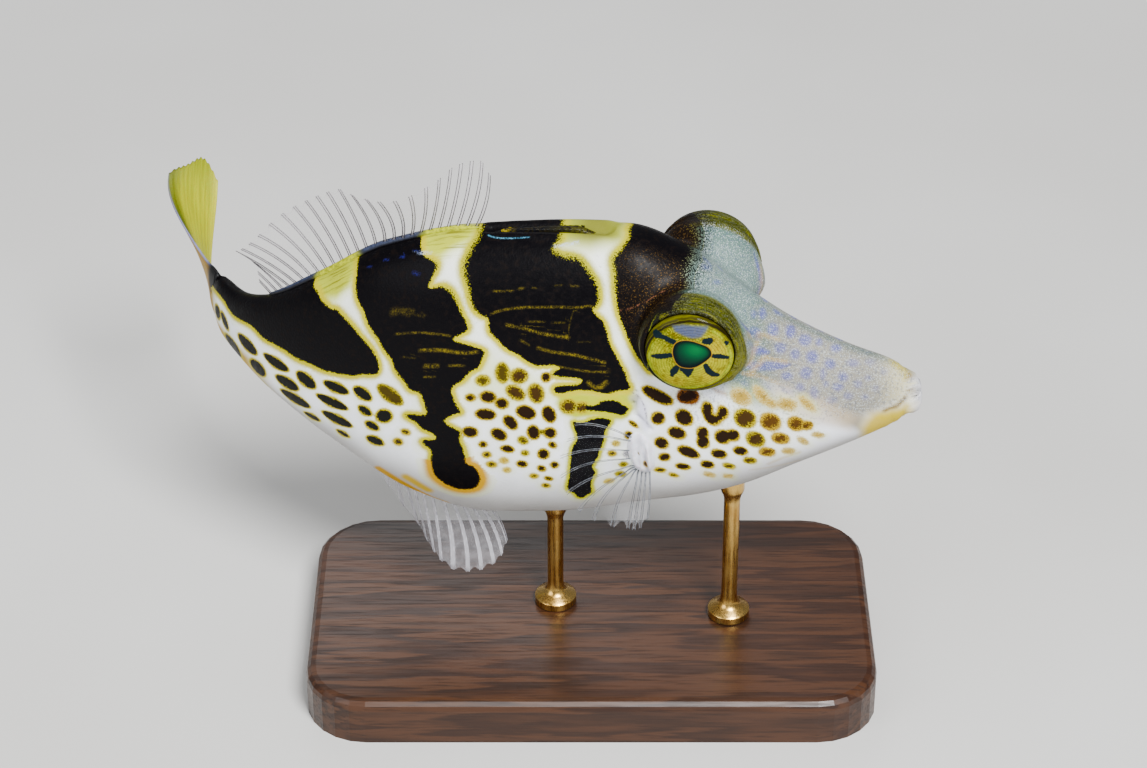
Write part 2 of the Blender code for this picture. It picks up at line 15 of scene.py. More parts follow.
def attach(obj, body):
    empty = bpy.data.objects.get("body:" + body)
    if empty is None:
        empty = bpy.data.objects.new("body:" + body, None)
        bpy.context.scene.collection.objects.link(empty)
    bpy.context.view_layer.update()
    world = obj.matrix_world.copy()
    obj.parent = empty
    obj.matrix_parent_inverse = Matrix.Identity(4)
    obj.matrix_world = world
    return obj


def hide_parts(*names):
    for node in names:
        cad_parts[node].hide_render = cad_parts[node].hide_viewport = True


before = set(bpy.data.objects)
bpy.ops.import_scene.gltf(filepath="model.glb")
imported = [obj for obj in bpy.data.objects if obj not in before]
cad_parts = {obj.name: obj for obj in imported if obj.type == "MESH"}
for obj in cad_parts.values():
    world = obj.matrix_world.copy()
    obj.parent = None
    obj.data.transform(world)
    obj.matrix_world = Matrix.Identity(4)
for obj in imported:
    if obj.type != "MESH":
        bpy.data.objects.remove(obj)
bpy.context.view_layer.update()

MM = 0.001

# The camera stands where the photograph was taken from, 34 degrees above the fish's right side
PHOTO_SIZE = (1147, 768)
CAMERA_PLACE = (-1.45, -207.51, 166.09)
CAMERA_TILT = 56.0
CAMERA_LENS = 100.0
CAMERA_SENSOR = 36.0

# The fish's build, the same as the solids'
MOUTH = (25.0, -3.0, 27.5)
NOSE_UP = 3.7
STANDARD_LENGTH = 62.0
PROFILE = (
    (0, 1.76, -1.84, 1.09), (1.9, 2.85, -3.01, 1.63), (5, 4.05, -4.69, 2.28), (9.3, 6.23, -6.77, 3.29),
    (13.6, 9.35, -8.8, 4.39), (17.4, 12.45, -9.85, 5.34), (21.7, 14.25, -10.55, 5.84),
    (27.9, 14.45, -11.55, 6.04), (34.1, 14.35, -11.75, 5.41), (40.3, 12.7, -10.3, 4.34),
    (46.5, 8.9, -6.85, 3.03), (52.7, 5.15, -3.75, 1.9), (57, 3.8, -2.52, 1.38),
    (62, 3.45, -2.3, 1.01),
)
WIDEST_LEVEL = 0.45
FULLNESS = 0.95
SPINE_TURN = ((0, 8.3), (18.6, 8.2), (31, 4.3), (38.4, 13.7), (44.6, 21.6), (49.6, 31.5), (54.6, 48.8),
              (58.9, 61.9), (62, 65.9))
SPINE_STEP = 0.25
GIRTH_STEP = 0.5
LIPS = (
    (-0.62, 0.42), (-0.52, 0.72), (-0.25, 0.95), (0.1, 1.03), (0.5, 1), (0.85, 0.93), (1.3, 0.98),
    (2, 1),
)
EYE_STATION = 16.4
EYE_HEIGHT = 7.95
EYE_SIDE = 5.85
TURRET_RADIUS = 4.0
TURRET_FLAT = 1.35
BROW = (14.0, 4.6, 6.6)
BROW_RADIUS = 2.15
NOSTRILS = ((11.7, 6.0, 0.26), (12.5, 6.5, 0.2))
GILL_SLIT = ((20.95, 3.1), (21.35, 1.4), (20.0, -0.4))
SPINE_ROOT = 23.4
SPINE_TIP = 31.4
GAP = 0.3


def srgb(red, green, blue):
    """A colour given as it looks, 0 to 255, as the shader counts it."""
    return tuple(part / 12.92 / 255 if part <= 10 else ((part / 255 + 0.055) / 1.055) ** 2.4
                 for part in (red, green, blue))


# The fish's own directions


def curve(rows):
    """Reads every column of a table between its rows, on curves with no overshoot."""
    table = np.array(rows, float)
    at, values = table[:, 0], table[:, 1:]
    steps = np.diff(values, axis=0) / np.diff(at)[:, None]
    slopes = np.empty_like(values)
    slopes[0], slopes[-1] = steps[0], steps[-1]
    product, total = steps[:-1] * steps[1:], steps[:-1] + steps[1:]
    slopes[1:-1] = np.where(product > 0, 2 * product / np.where(product > 0, total, 1.0), 0.0)

    def read(place):
        place = np.clip(np.asarray(place, float), at[0], at[-1])
        i = np.clip(np.searchsorted(at, place, side="left") - 1, 0, len(at) - 2)
        width = (at[i + 1] - at[i])[..., None]
        share = (place - at[i])[..., None] / width
        square, cube = share ** 2, share ** 3
        found = (values[i] * (2 * cube - 3 * square + 1) + slopes[i] * width * (cube - 2 * square + share)
                 + values[i + 1] * (3 * square - 2 * cube) + slopes[i + 1] * width * (cube - square))
        return found if found.shape[-1] > 1 else found[..., 0]

    return read


read_turn = curve(SPINE_TURN)
read_profile = curve(PROFILE)
read_lips = curve(LIPS)


def trace_spine():
    places = [(0.0, 0.0)]
    for i in range(round(STANDARD_LENGTH / SPINE_STEP)):
        middle = math.radians(read_turn((i + 0.5) * SPINE_STEP))
        forward, left = places[-1]
        places.append((forward - math.cos(middle) * SPINE_STEP, left + math.sin(middle) * SPINE_STEP))
    stations = np.arange(len(places)) * SPINE_STEP
    return stations, np.array(places), np.radians(read_turn(stations))


SPINE_STATIONS, SPINE_PLACES, SPINE_TURNS = trace_spine()
PLACED = Matrix.Translation(Vector(MOUTH)) @ Matrix.Rotation(-math.radians(NOSE_UP), 4, "Y")
PLACED_TURN = np.array(PLACED.to_3x3())
PLACED_AT = np.array(MOUTH)
UP = PLACED_TURN @ np.array((0.0, 0.0, 1.0))


def spine_at(station):
    inside = np.clip(station, 0.0, STANDARD_LENGTH)
    forward = np.interp(inside, SPINE_STATIONS, SPINE_PLACES[:, 0])
    left = np.interp(inside, SPINE_STATIONS, SPINE_PLACES[:, 1])
    turn = np.interp(inside, SPINE_STATIONS, SPINE_TURNS)
    beyond = station - inside
    return forward - np.cos(turn) * beyond, left + np.sin(turn) * beyond, turn


def point_at(station, side, height):
    forward, left, turn = spine_at(np.asarray(station, float))
    x, y = forward + np.sin(turn) * side, left + np.cos(turn) * side
    return np.stack(np.broadcast_arrays(x, y, height), -1) @ PLACED_TURN.T + PLACED_AT


def directions_at(station):
    """Back along the spine, and to the fish's left."""
    turn = spine_at(np.asarray(station, float))[2]
    zero = np.zeros_like(turn)
    backward = np.stack((-np.cos(turn), np.sin(turn), zero), -1) @ PLACED_TURN.T
    leftward = np.stack((np.sin(turn), np.cos(turn), zero), -1) @ PLACED_TURN.T
    return backward, leftward


def fish_place(points):
    """Station, side and height of points in the stand's frame."""
    inner = (points - PLACED_AT) @ PLACED_TURN
    station = np.interp(-inner[..., 0], -SPINE_PLACES[:, 0], SPINE_STATIONS)
    for _ in range(7):
        forward, left, turn = spine_at(station)
        station = station - (inner[..., 0] - forward) * np.cos(turn) + (inner[..., 1] - left) * np.sin(turn)
        station = np.clip(station, -6.0, STANDARD_LENGTH + 8.0)
    forward, left, turn = spine_at(station)
    side = (inner[..., 0] - forward) * np.sin(turn) + (inner[..., 1] - left) * np.cos(turn)
    return station, side, inner[..., 2]


def section_at(station):
    """Back height, belly height, half width and widest height."""
    back, belly, half_width = np.moveaxis(read_profile(np.maximum(station, 0.0)), -1, 0)
    size = np.where(station < LIPS[-1][0], read_lips(station), 1.0)
    middle = (back + belly) / 2
    back, belly = middle + (back - middle) * size, middle + (belly - middle) * size
    return back, belly, half_width * size, belly + (back - belly) * WIDEST_LEVEL


def flank_side(station, height):
    back, belly, half_width, widest = section_at(station)
    share = (height - widest) / np.where(height > widest, back - widest, belly - widest)
    rise = np.minimum(np.abs(share), 1.0) ** (1 / FULLNESS)
    return half_width * np.sqrt(np.maximum(1 - rise * rise, 0.0)) ** FULLNESS


def flank_point(station, height, hand):
    """A point on a flank and the normal there. hand is 1 on the left, -1 on the right."""
    step = 0.2

    def on_skin(at, level):
        return point_at(at, hand * flank_side(at, level), level)

    along = on_skin(station + step, height) - on_skin(station - step, height)
    upward = on_skin(station, height + step) - on_skin(station, height - step)
    normal = np.cross(upward, along)
    return on_skin(station, height), normal / np.linalg.norm(normal, axis=-1, keepdims=True) * -hand


EYE_CENTRES = {hand: point_at(EYE_STATION, hand * EYE_SIDE, EYE_HEIGHT) for hand in (1, -1)}
EYE_REARWARD = directions_at(EYE_STATION)[0]
EYE_OUTWARD = {hand: directions_at(EYE_STATION)[1] * hand for hand in (1, -1)}
BROW_CENTRES = {hand: point_at(BROW[0], hand * BROW[1], BROW[2]) for hand in (1, -1)}

# The skin's shape

EYE_RADIUS = 3.36
CUP_RADIUS = 3.40
CUP_DEPTH = 2.6
CUP_LEVEL = 1.45
LID_TILT = 0.05
SKIN_INSET = 0.03

# The skin's small forms. TAIL_ROOT_NARROWER is a share of the half width
TAIL_ROOT_START = 59.0
TAIL_ROOT_NARROWER = 0.32
TAIL_ROOT_SHALLOWER = 0.2
NOSE_END = -0.6
MOUTH_LEVEL = 0.15
MOUTH_BOW = 0.12
MOUTH_DEPTH = 0.16
MOUTH_HALF = 0.2
MOUTH_END = 0.6
WRINKLE_DEPTH = 0.035
WRINKLES_ROUND = 26
CHIN_FOLD_DEPTH = 0.03
GROOVE_DEPTH = 0.62
GROOVE_HALF = 0.62
GROOVE_TAPER = 0.028
GROOVE_LIP = 0.16
SLIT_DEPTH = 0.38
SLIT_HALF = 0.17
FLAP_EDGE = 21.2
FLAP_RISE = 0.1
NOSTRIL_DEPTH = 0.5
NOSTRIL_RIM = 0.09
BROW_BLEND = 1.2
TURRET_BLEND = 1.5
TURRET_REACH = 5.6
LID_CREASE = 0.09
LID_START = 3.6
LID_REACH = 4.75

# The size of the skin's faces, and the block that cuts the turrets flat
ROUGH_VOXEL = 0.4
FINE_VOXEL = 0.17
FLAT_CUTTER = 12
FLAT_CUTTER_OUT = 6.1

# A distance further than any that matters, and how far and how strongly a fine line shows
FAR = 9.0
LINE_REACH = 0.75
LINE_STRENGTH = 0.74


def smooth_least(a, b, width):
    overlap = np.maximum(width - np.abs(a - b), 0.0) / width
    return np.minimum(a, b) - overlap * overlap * width / 4


def smooth_most(a, b, width):
    return -smooth_least(-a, -b, width)


def bump(value, middle, width):
    return np.exp(-((value - middle) / width) ** 2)


def eye_frame(points, hand):
    """How far out from the middle of an eye turret points are, and how far from its axis."""
    away = points - EYE_CENTRES[hand]
    outward = away @ EYE_OUTWARD[hand]
    across = away - outward[..., None] * EYE_OUTWARD[hand]
    return outward, np.linalg.norm(across, axis=-1), across


def beside_run(x, y, start, end):
    """How far along a straight run places are, as a share, and how far off its nearest point."""
    (x0, y0), (x1, y1) = start, end
    dx, dy = x1 - x0, y1 - y0
    share = np.clip(((x - x0) * dx + (y - y0) * dy) / max(dx * dx + dy * dy, 1e-9), 0, 1)
    return share, x - x0 - dx * share, y - y0 - dy * share


def distance_to_line(x, y, corners):
    """The distance from places in a plane to a line through corners."""
    nearest = np.full(x.shape, 1e3)
    for start, end in zip(corners[:-1], corners[1:]):
        nearest = np.minimum(nearest, np.hypot(*beside_run(x, y, start, end)[1:]))
    return nearest


def skin_distance(points):
    """How far outside the fish's skin points in the stand's frame are."""
    station, side, height = fish_place(points)
    back, belly, half_width, widest = section_at(station)
    narrowed = eased(station, TAIL_ROOT_START, STANDARD_LENGTH)
    half_width = half_width * (1 - TAIL_ROOT_NARROWER * narrowed)
    back, belly = back - TAIL_ROOT_SHALLOWER * narrowed, belly + TAIL_ROOT_SHALLOWER * narrowed
    reach = np.where(height > widest, back - widest, widest - belly)
    rise = np.abs(height - widest) / reach
    across = np.abs(side) / half_width
    ratio = (across ** (2 / FULLNESS) + rise ** (2 / FULLNESS)) ** (FULLNESS / 2)
    spread = np.hypot(side, height - widest)
    distance = spread * (1 - 1 / np.maximum(ratio, 1e-6))
    distance = smooth_most(distance, NOSE_END - station, 0.3)
    distance = smooth_most(distance, station - STANDARD_LENGTH, 0.4)

    # the lips part along the line of the mouth, and fine wrinkles cross them
    mouth_line = np.abs(height - MOUTH_LEVEL + MOUTH_BOW * side * side)
    lips = np.clip((MOUTH_END - station) / MOUTH_END, 0, 1)
    distance += MOUTH_DEPTH * bump(mouth_line, 0, MOUTH_HALF) * lips
    turn = np.arctan2(height, side)
    wrinkles = WRINKLE_DEPTH * np.sin(turn * WRINKLES_ROUND + 2 * np.sin(turn * 5)) * bump(station, 0, 0.5)
    distance += wrinkles * eased(np.hypot(side, height), 0.5, 1.3)
    distance += CHIN_FOLD_DEPTH * np.cos(station * 7.0) * bump(station, 1.6, 1) * (height < 0)

    # the groove that the first dorsal spine folds down into, with a soft lip on each side
    groove = np.clip((station - SPINE_ROOT + 0.9) / 0.8, 0, 1)
    groove = groove * np.clip((SPINE_TIP + 1.9 - station) / 0.8, 0, 1)
    half = GROOVE_HALF - GROOVE_TAPER * (station - SPINE_ROOT)
    hollow = GROOVE_DEPTH * bump(side, 0, half) - GROOVE_LIP * bump(np.abs(side), 2.1 * half, 0.7 * half)
    distance += groove * (height > widest) * hollow

    # the gill slit, under the edge of the flap in front of it
    slit = distance_to_line(station, height, GILL_SLIT)
    distance += SLIT_DEPTH * bump(slit, 0, SLIT_HALF)
    distance -= FLAP_RISE * bump(slit, 0, 0.8) * np.clip((FLAP_EDGE - station) / 0.5, 0, 1)

    for place, level, radius in NOSTRILS:
        away = np.hypot(station - place, height - level)
        distance += NOSTRIL_DEPTH * bump(away, 0, radius)
        distance -= NOSTRIL_RIM * bump(away, 2 * radius, 0.14)

    for hand in (1, -1):
        outward, radial, _ = eye_frame(points, hand)
        ball = np.hypot(outward, radial) - TURRET_RADIUS
        brow = np.linalg.norm(points - BROW_CENTRES[hand], axis=-1) - BROW_RADIUS
        distance = smooth_least(distance, smooth_least(ball, brow, BROW_BLEND), TURRET_BLEND)
        near = np.hypot(outward, radial) < TURRET_REACH
        crease = bump(outward, 0.42, 0.16) - 1.1 * bump(outward, 0.1, 0.16)
        lift = (points - EYE_CENTRES[hand])[..., 2] * LID_TILT
        faced = smooth_most(distance, outward - TURRET_FLAT - 0.1 - lift, 0.35)
        cup = np.hypot(radial / CUP_RADIUS, (outward - CUP_LEVEL) / CUP_DEPTH)
        cup = np.where(outward > CUP_LEVEL, radial / CUP_RADIUS, cup)
        faced = smooth_most(faced, (1 - cup) * CUP_RADIUS * 0.9, 0.12)
        distance = np.where(near, faced - LID_CREASE * crease * (radial > LID_START), distance)
    return distance + SKIN_INSET


def settle(points, rounds=4):
    """Moves points onto the skin."""
    step = 0.02
    for _ in range(rounds):
        here = skin_distance(points)
        slope = np.empty_like(points)
        for axis in range(3):
            ahead = points.copy()
            ahead[:, axis] += step
            slope[:, axis] = (skin_distance(ahead) - here) / step
        steep = np.maximum((slope ** 2).sum(1), 0.09)
        move = slope * (here / steep)[:, None]
        length = np.linalg.norm(move, axis=1, keepdims=True)
        points = points - move * np.minimum(1.0, 0.25 / np.maximum(length, 1e-9))
    return points


def photo_ray(pixels):
    """The camera's place, and the direction from it through a point of the photograph."""
    pixels = np.asarray(pixels, float)
    focal = PHOTO_SIZE[0] * CAMERA_LENS / CAMERA_SENSOR
    tilt = math.radians(CAMERA_TILT)
    right = np.array((1.0, 0.0, 0.0))
    upward = np.array((0.0, math.cos(tilt), math.sin(tilt)))
    ahead = np.array((0.0, math.sin(tilt), -math.cos(tilt)))
    across = (pixels[..., 0:1] - PHOTO_SIZE[0] / 2) / focal
    down = (pixels[..., 1:2] - PHOTO_SIZE[1] / 2) / focal
    ray = ahead + right * across - upward * down
    return np.array(CAMERA_PLACE), ray / np.linalg.norm(ray, axis=-1, keepdims=True)


def skin_under(pixels):
    """Where the skin lies under points of the photograph."""
    start, ray = photo_ray(pixels)
    along = np.full(ray.shape[:-1], 195.0)
    best, best_along = np.full(along.shape, 1e3), along.copy()
    for _ in range(110):
        away = skin_distance(start + ray * along[..., None])
        closer = np.abs(away) < best
        best, best_along = np.where(closer, np.abs(away), best), np.where(closer, along, best_along)
        along = along + np.clip(away * 0.6, -0.5, 3.0)
    return start + ray * best_along[..., None]


def girth_table():
    """How far down the flank each angle of the section is, for a row of stations."""
    stations = np.arange(-GIRTH_STEP, STANDARD_LENGTH + 0.6, GIRTH_STEP)
    angles = np.linspace(0, math.pi, 121)
    back, belly, half_width, widest = (value[:, None] for value in section_at(stations))
    side = half_width * np.sin(angles) ** FULLNESS
    level = np.sign(np.cos(angles)) * np.abs(np.cos(angles)) ** FULLNESS
    height = widest + np.where(level > 0, level * (back - widest), level * (widest - belly))
    steps = np.hypot(np.diff(side, axis=1), np.diff(height, axis=1))
    return stations, angles, np.concatenate((np.zeros((len(stations), 1)), np.cumsum(steps, axis=1)), axis=1)


GIRTH_STATIONS, GIRTH_ANGLES, GIRTHS = girth_table()


def flank_place(points):
    """Station and girth of points on the skin. The girth is negative on the left side."""
    station, side, height = fish_place(points)
    back, belly, half_width, widest = section_at(station)
    rise = (height - widest) / np.where(height > widest, back - widest, widest - belly)
    across = np.abs(side) / half_width
    angle = np.arctan2(across ** (1 / FULLNESS), np.sign(rise) * np.abs(rise) ** (1 / FULLNESS))
    row = np.clip((station - GIRTH_STATIONS[0]) / GIRTH_STEP, 0, len(GIRTH_STATIONS) - 1.001)
    column = np.clip(angle / math.pi * (len(GIRTH_ANGLES) - 1), 0, len(GIRTH_ANGLES) - 1.001)
    i, j = row.astype(int), column.astype(int)
    u, v = row - i, column - j
    girth = ((GIRTHS[i, j] * (1 - v) + GIRTHS[i, j + 1] * v) * (1 - u)
             + (GIRTHS[i + 1, j] * (1 - v) + GIRTHS[i + 1, j + 1] * v) * u)
    return np.stack((station, np.where(side > 0, -girth, girth)), -1)


def on_flank(pixels):
    """Station and girth of the right flank under points of the photograph."""
    return flank_place(skin_under(np.asarray(pixels, float)))


# The markings, by points of the photograph

# Each dark saddle runs from the back, round its foot and up to the back again
SADDLE_NAPE = (
    (626, 223), (631, 236), (624, 246), (619, 251), (613, 258), (613.5, 266), (615, 276), (615, 291),
    (616.5, 303), (618.5, 315), (623, 326), (626.5, 335), (631, 345), (636.5, 356), (642, 363), (650, 374),
    (647, 360), (648, 345), (654, 332), (662, 322), (670, 313), (674, 303), (684, 294), (694, 289),
    (693, 278), (698, 268), (704, 258), (707, 250), (710, 241), (712, 234),
)
SADDLE_MIDDLE = (
    (482, 228), (480, 232), (478, 239), (472, 246), (468, 255), (464, 263), (464, 272), (466, 281),
    (469, 291), (470, 298), (472, 305), (476, 312), (482, 316), (486, 317), (489, 320), (489, 332),
    (496, 338), (502, 345), (509, 351), (519, 355), (526, 361), (534, 365), (541, 366), (555, 365),
    (561, 368), (555, 371), (551, 375), (560, 377), (580, 378), (583, 381.5), (578, 385), (566, 385.5),
    (556, 386), (553, 389.5), (557, 394), (565, 393), (573, 390.5), (580, 390), (592, 391), (602, 393),
    (610, 393.5), (614, 392), (618, 390.5), (626, 390.5), (630, 389), (631, 386), (627, 381), (626, 374),
    (619, 362), (615, 353), (609, 343), (607, 332), (604, 322), (596, 315), (592, 310), (599, 303),
    (599, 292), (596, 281), (590, 273), (585, 265), (578, 258), (560, 255), (552, 250), (557, 243),
    (562, 236), (560, 228), (558, 223),
)
SADDLE_REAR = (
    (359, 255), (357.5, 269), (356, 280), (355.5, 287.5), (357.5, 300), (363, 309), (366, 319), (371, 330),
    (379, 340), (384, 350), (392.5, 360), (395, 371), (404, 381), (410, 391), (420, 392), (423, 400),
    (425.5, 408), (427, 414), (425.5, 415), (415, 414.5), (406, 414), (405, 415.5), (409.5, 419),
    (416, 422), (423, 430), (432, 433), (435.5, 435.5), (436, 440), (427, 439.5), (422, 440.5), (422, 442),
    (425, 446), (430.5, 449), (432, 454.5), (430.5, 458), (432, 467), (433, 473), (438, 479), (448, 485.5),
    (459.5, 489.5), (470.5, 489.5), (477, 487), (480.5, 481), (479.5, 474), (475, 467), (469.5, 465),
    (465.6, 463), (465, 456), (463, 448), (459.5, 442), (459.5, 437), (460.5, 431), (453, 428), (445, 423),
    (444, 420), (447, 418), (454, 414.5), (462, 413), (458, 408), (454, 401), (452.5, 396), (451, 390),
    (454, 385), (462.5, 381), (466, 376), (471, 371), (477.5, 369), (481, 362.5), (484, 356), (485, 351),
    (477.5, 347.5), (469, 345), (459, 342.5), (451, 339), (462.5, 334), (469, 329), (466, 321), (462, 314),
    (458, 305), (455, 297.5), (450, 290), (442.5, 286), (435, 287.5), (427.5, 289), (431, 279), (436, 271),
    (437.5, 264), (432.5, 260), (422.5, 255), (421, 244), (422, 236), (421, 233),
)
SADDLE_TAIL = (
    (312, 285), (317.5, 291), (320.5, 299), (325, 304), (331, 309), (336, 309), (341, 314), (347.5, 321),
    (355, 329), (360, 336), (367.5, 344), (374, 352.5), (378, 361), (379.5, 369), (377.5, 374.5),
    (370, 375), (362.5, 374), (356, 376), (349, 375.5), (340, 374), (330, 372), (321, 369.5), (312.5, 365),
    (301, 360.5), (295, 357.5), (286, 351), (279, 347), (272.5, 343), (265, 339.5), (260, 335), (255, 329),
    (249, 324), (241, 320), (234, 316), (229, 309), (224, 300), (217.5, 292.5), (211, 284), (209, 275),
    (207.5, 269),
)

# Dark bars behind the pectoral fin, and spots that aren't round
BAR_UPPER = (
    (575, 406), (585, 405), (593, 406), (598, 404.5), (600.5, 401.5), (607, 400.3), (614, 400.5),
    (619, 401.7), (621, 404), (625, 406), (629, 407.5), (628.5, 410), (626, 413), (624, 415.5),
    (620, 415.5), (612, 413), (602, 411.5), (593, 411), (585, 410), (575, 408.5),
)
BAR_LOWER = (
    (572, 421), (580, 423), (587, 421.5), (590, 419.5), (597, 418), (603, 417.8), (608, 419), (612, 420.5),
    (610, 424), (607, 427), (605, 431), (604.5, 437), (603, 442), (601, 449), (599, 451), (598.5, 457),
    (595, 461), (593, 465.5), (592, 468), (595, 470), (594.5, 475), (592, 479), (590.5, 484), (592, 490),
    (592, 493), (587, 494.5), (583, 498), (578, 497.5), (574.5, 493), (571, 492), (568, 490), (567, 488),
    (568, 482), (569.5, 477), (569.5, 470), (570.5, 462), (571, 452), (573, 446), (577, 441), (577.5, 436),
    (575, 430), (573, 425),
)
CHEEK_CRESCENT = (
    (704, 404), (708, 402.5), (711.5, 405), (712, 410), (711.5, 414), (714, 416.5), (718, 414.5),
    (719, 409), (722, 406.5), (726, 408), (728, 412), (726, 416.5), (721, 420), (716, 424.5), (711, 424.5),
    (706, 420.5), (703, 414), (702.5, 408),
)
CHEEK_BEAN = (
    (643.5, 387), (649, 386.5), (655, 389), (661, 391.5), (667, 395), (672, 399), (672, 403.5),
    (666, 404.5), (659, 402.5), (652, 399), (646, 394.5), (642.5, 390.5),
)

# Spots by kind: place, half length, half width, degrees turned clockwise
SPOTS = {
    "slate": (
        (247, 344.5, 13.5, 3.8, 46), (233, 346.5, 13.5, 2.6, 54), (257.5, 368, 10.5, 3.6, 47),
        (276, 363, 14.5, 4, 32), (306, 380, 12, 5, 41), (287, 383, 13, 4.2, 31), (265.5, 385, 9.5, 2, 41),
        (295, 398.8, 17, 3.3, 30), (312, 416.5, 9, 1.7, 29), (336, 387.5, 13.5, 4.4, 24),
        (362.5, 393.5, 10.5, 4.8, 36), (332, 402.3, 17, 3.9, 24), (337, 419.3, 16.5, 3.7, 26),
        (365, 410.7, 7.5, 3.3, 34), (384, 416, 7.8, 6, 10), (372, 425.7, 7.5, 3.2, 30),
        (343, 433.5, 7, 1.6, 30), (375, 440.5, 9, 3.5, 24), (217.3, 312, 7, 1.8, 76),
        (224.5, 321, 9.5, 1.8, 68),
    ),
    "olive": (
        (390, 394.7, 14.5, 5.6, 37), (502.5, 373, 9, 5.5, 86), (483, 380.6, 5.5, 4, 0),
        (541.5, 432, 4, 1, 5), (523, 440.5, 4, 2.5, 22), (525, 453, 2.2, 1.6, 0),
        (623.5, 464.5, 2.6, 1.4, 350), (620.5, 474, 3.6, 1.6, 0),
    ),
    "small": (
        (405.6, 432, 3.5, 1.6, 20), (398, 441.7, 3.5, 2.2, 20), (486.7, 454.7, 2.7, 2, 0),
        (491.7, 464.4, 3.5, 1.8, 5), (534, 476, 2.7, 1.3, 5), (546, 485.5, 2.5, 1.3, 10),
        (612, 453.5, 2.6, 1.6, 0), (660, 470, 4.4, 1.4, 0), (673.5, 475, 3.2, 1, 8),
    ),
    "brown": (
        (519, 376, 7.5, 6, 0), (515.5, 392.8, 9, 5.3, 33), (536, 393.5, 8.6, 6.4, 72),
        (582, 407.5, 5.5, 4, 0), (568.5, 406.5, 7, 5.5, 0), (745, 418.5, 9.6, 8, 0),
        (755.5, 439.5, 8, 6.2, 10), (750, 460.5, 5.2, 2.1, 355), (729, 466, 4.6, 1.7, 3),
    ),
    "dark": (
        (546, 377.3, 4, 4, 0), (470.6, 397.6, 4, 2.8, 0), (488, 397, 7, 5, 10), (502, 403.5, 5.6, 4.5, 10),
        (485.6, 414.4, 9.5, 4.8, 6), (526, 412.5, 9.4, 6, 18), (549, 414.5, 8, 5.8, 62),
        (510.5, 422.5, 8, 5, 46), (533.5, 432.5, 6.6, 5.5, 70), (550, 433, 5.6, 4.8, 10),
        (470, 432, 7, 4.5, 8), (499, 434.5, 7.5, 4.8, 27), (483, 444.4, 3, 2.3, 0),
        (507.5, 449, 6, 2.8, 10), (552.5, 445, 3.6, 2.2, 24), (543.5, 454, 5, 4.4, 8),
        (522, 464, 4.6, 2.6, 10), (554.5, 465, 3.1, 2.6, 10), (541.6, 468.5, 3.4, 2.2, 20),
        (548.6, 478.5, 3.3, 1.4, 10), (629, 435.5, 3.8, 3, 30), (633.5, 424, 4.8, 1.4, 38),
        (658, 418, 6, 5.6, 0), (684, 417.5, 8.6, 7, 40), (677, 433, 8.4, 5.2, 14),
        (702.6, 433.2, 5.3, 5.6, 0), (703, 442, 5.6, 5.8, 0), (722.5, 437, 7, 6.2, 0),
        (732.5, 435.3, 6.4, 5, 0), (661.5, 443, 6.2, 5, 20), (688.5, 452, 10.8, 4.6, 22),
        (719, 454, 7.2, 3.8, 5), (740.5, 451, 6.4, 3.6, 5), (664.5, 457, 5, 3.2, 350),
        (683, 466.5, 6.6, 2.5, 6), (707.5, 464.5, 6, 3.1, 3),
    ),
    "yellow": (
        (504, 460.5, 3, 2, 10), (507, 470, 2.4, 1.5, 0), (616, 443.5, 2.2, 1.6, 0), (609, 481, 4, 1.2, 345),
    ),
    "grey": ((627, 454, 2.6, 3, 0),),
    "rust_with_shaded_rim": ((688, 396, 9.5, 6.3, 0),),
    "tawny": (
        (770.5, 422, 8.6, 7, 0), (796, 424, 6.6, 5.4, 0), (806.5, 425.5, 5, 2.8, 345),
        (780.5, 438.5, 7, 4, 0), (767, 452, 6.4, 3, 355),
    ),
    "faint": (
        (803, 441, 3.8, 1.7, 30), (788.5, 451, 4.8, 1.8, 350), (818, 435, 4.6, 1.3, 0),
        (709.5, 474.5, 4.2, 1.3, 3), (728, 476, 3.6, 1, 350), (741, 397, 8.6, 6, 15),
        (762, 396, 9, 3.6, 50), (770, 403, 6, 2.6, 20), (787, 404.5, 8, 4, 0), (807, 404, 8, 2.6, 40),
    ),
}

# Colour of a kind's middle and of its rim, the rim's width and how soft its edge is
INK = srgb(11, 9, 9)
KINDS = {
    "saddle": (srgb(6, 5, 7), srgb(182, 172, 0), 0.34, 0.06),
    "bar": (srgb(5, 5, 8), srgb(176, 174, 0), 0.26, 0.05),
    "dark": (srgb(30, 17, 6), srgb(160, 136, 6), 0.15, 0.07),
    "slate": (srgb(16, 17, 14), srgb(176, 160, 0), 0.17, 0.07),
    "brown": (srgb(54, 36, 10), srgb(168, 152, 2), 0.2, 0.17),
    "olive": (srgb(62, 50, 6), srgb(168, 154, 2), 0.2, 0.16),
    # the spot under the eye has an orange-brown rim, not a yellow one: painted shade cast by the eye
    "rust_with_shaded_rim": (srgb(30, 12, 4), srgb(118, 68, 8), 0.2, 0.15),
    "tawny": (srgb(74, 48, 12), srgb(172, 142, 24), 0.22, 0.2),
    "faint": (srgb(160, 132, 50), srgb(190, 172, 110), 0.2, 0.24),
    "small": (srgb(46, 36, 12), srgb(172, 150, 8), 0.2, 0.08),
    "yellow": (srgb(160, 130, 14), srgb(196, 178, 84), 0.18, 0.16),
    "grey": (srgb(130, 130, 134), srgb(200, 198, 200), 0.12, 0.16),
}
FOOT_RIM = srgb(184, 138, 0)
FOOT_RIM_WIDTH = 0.56
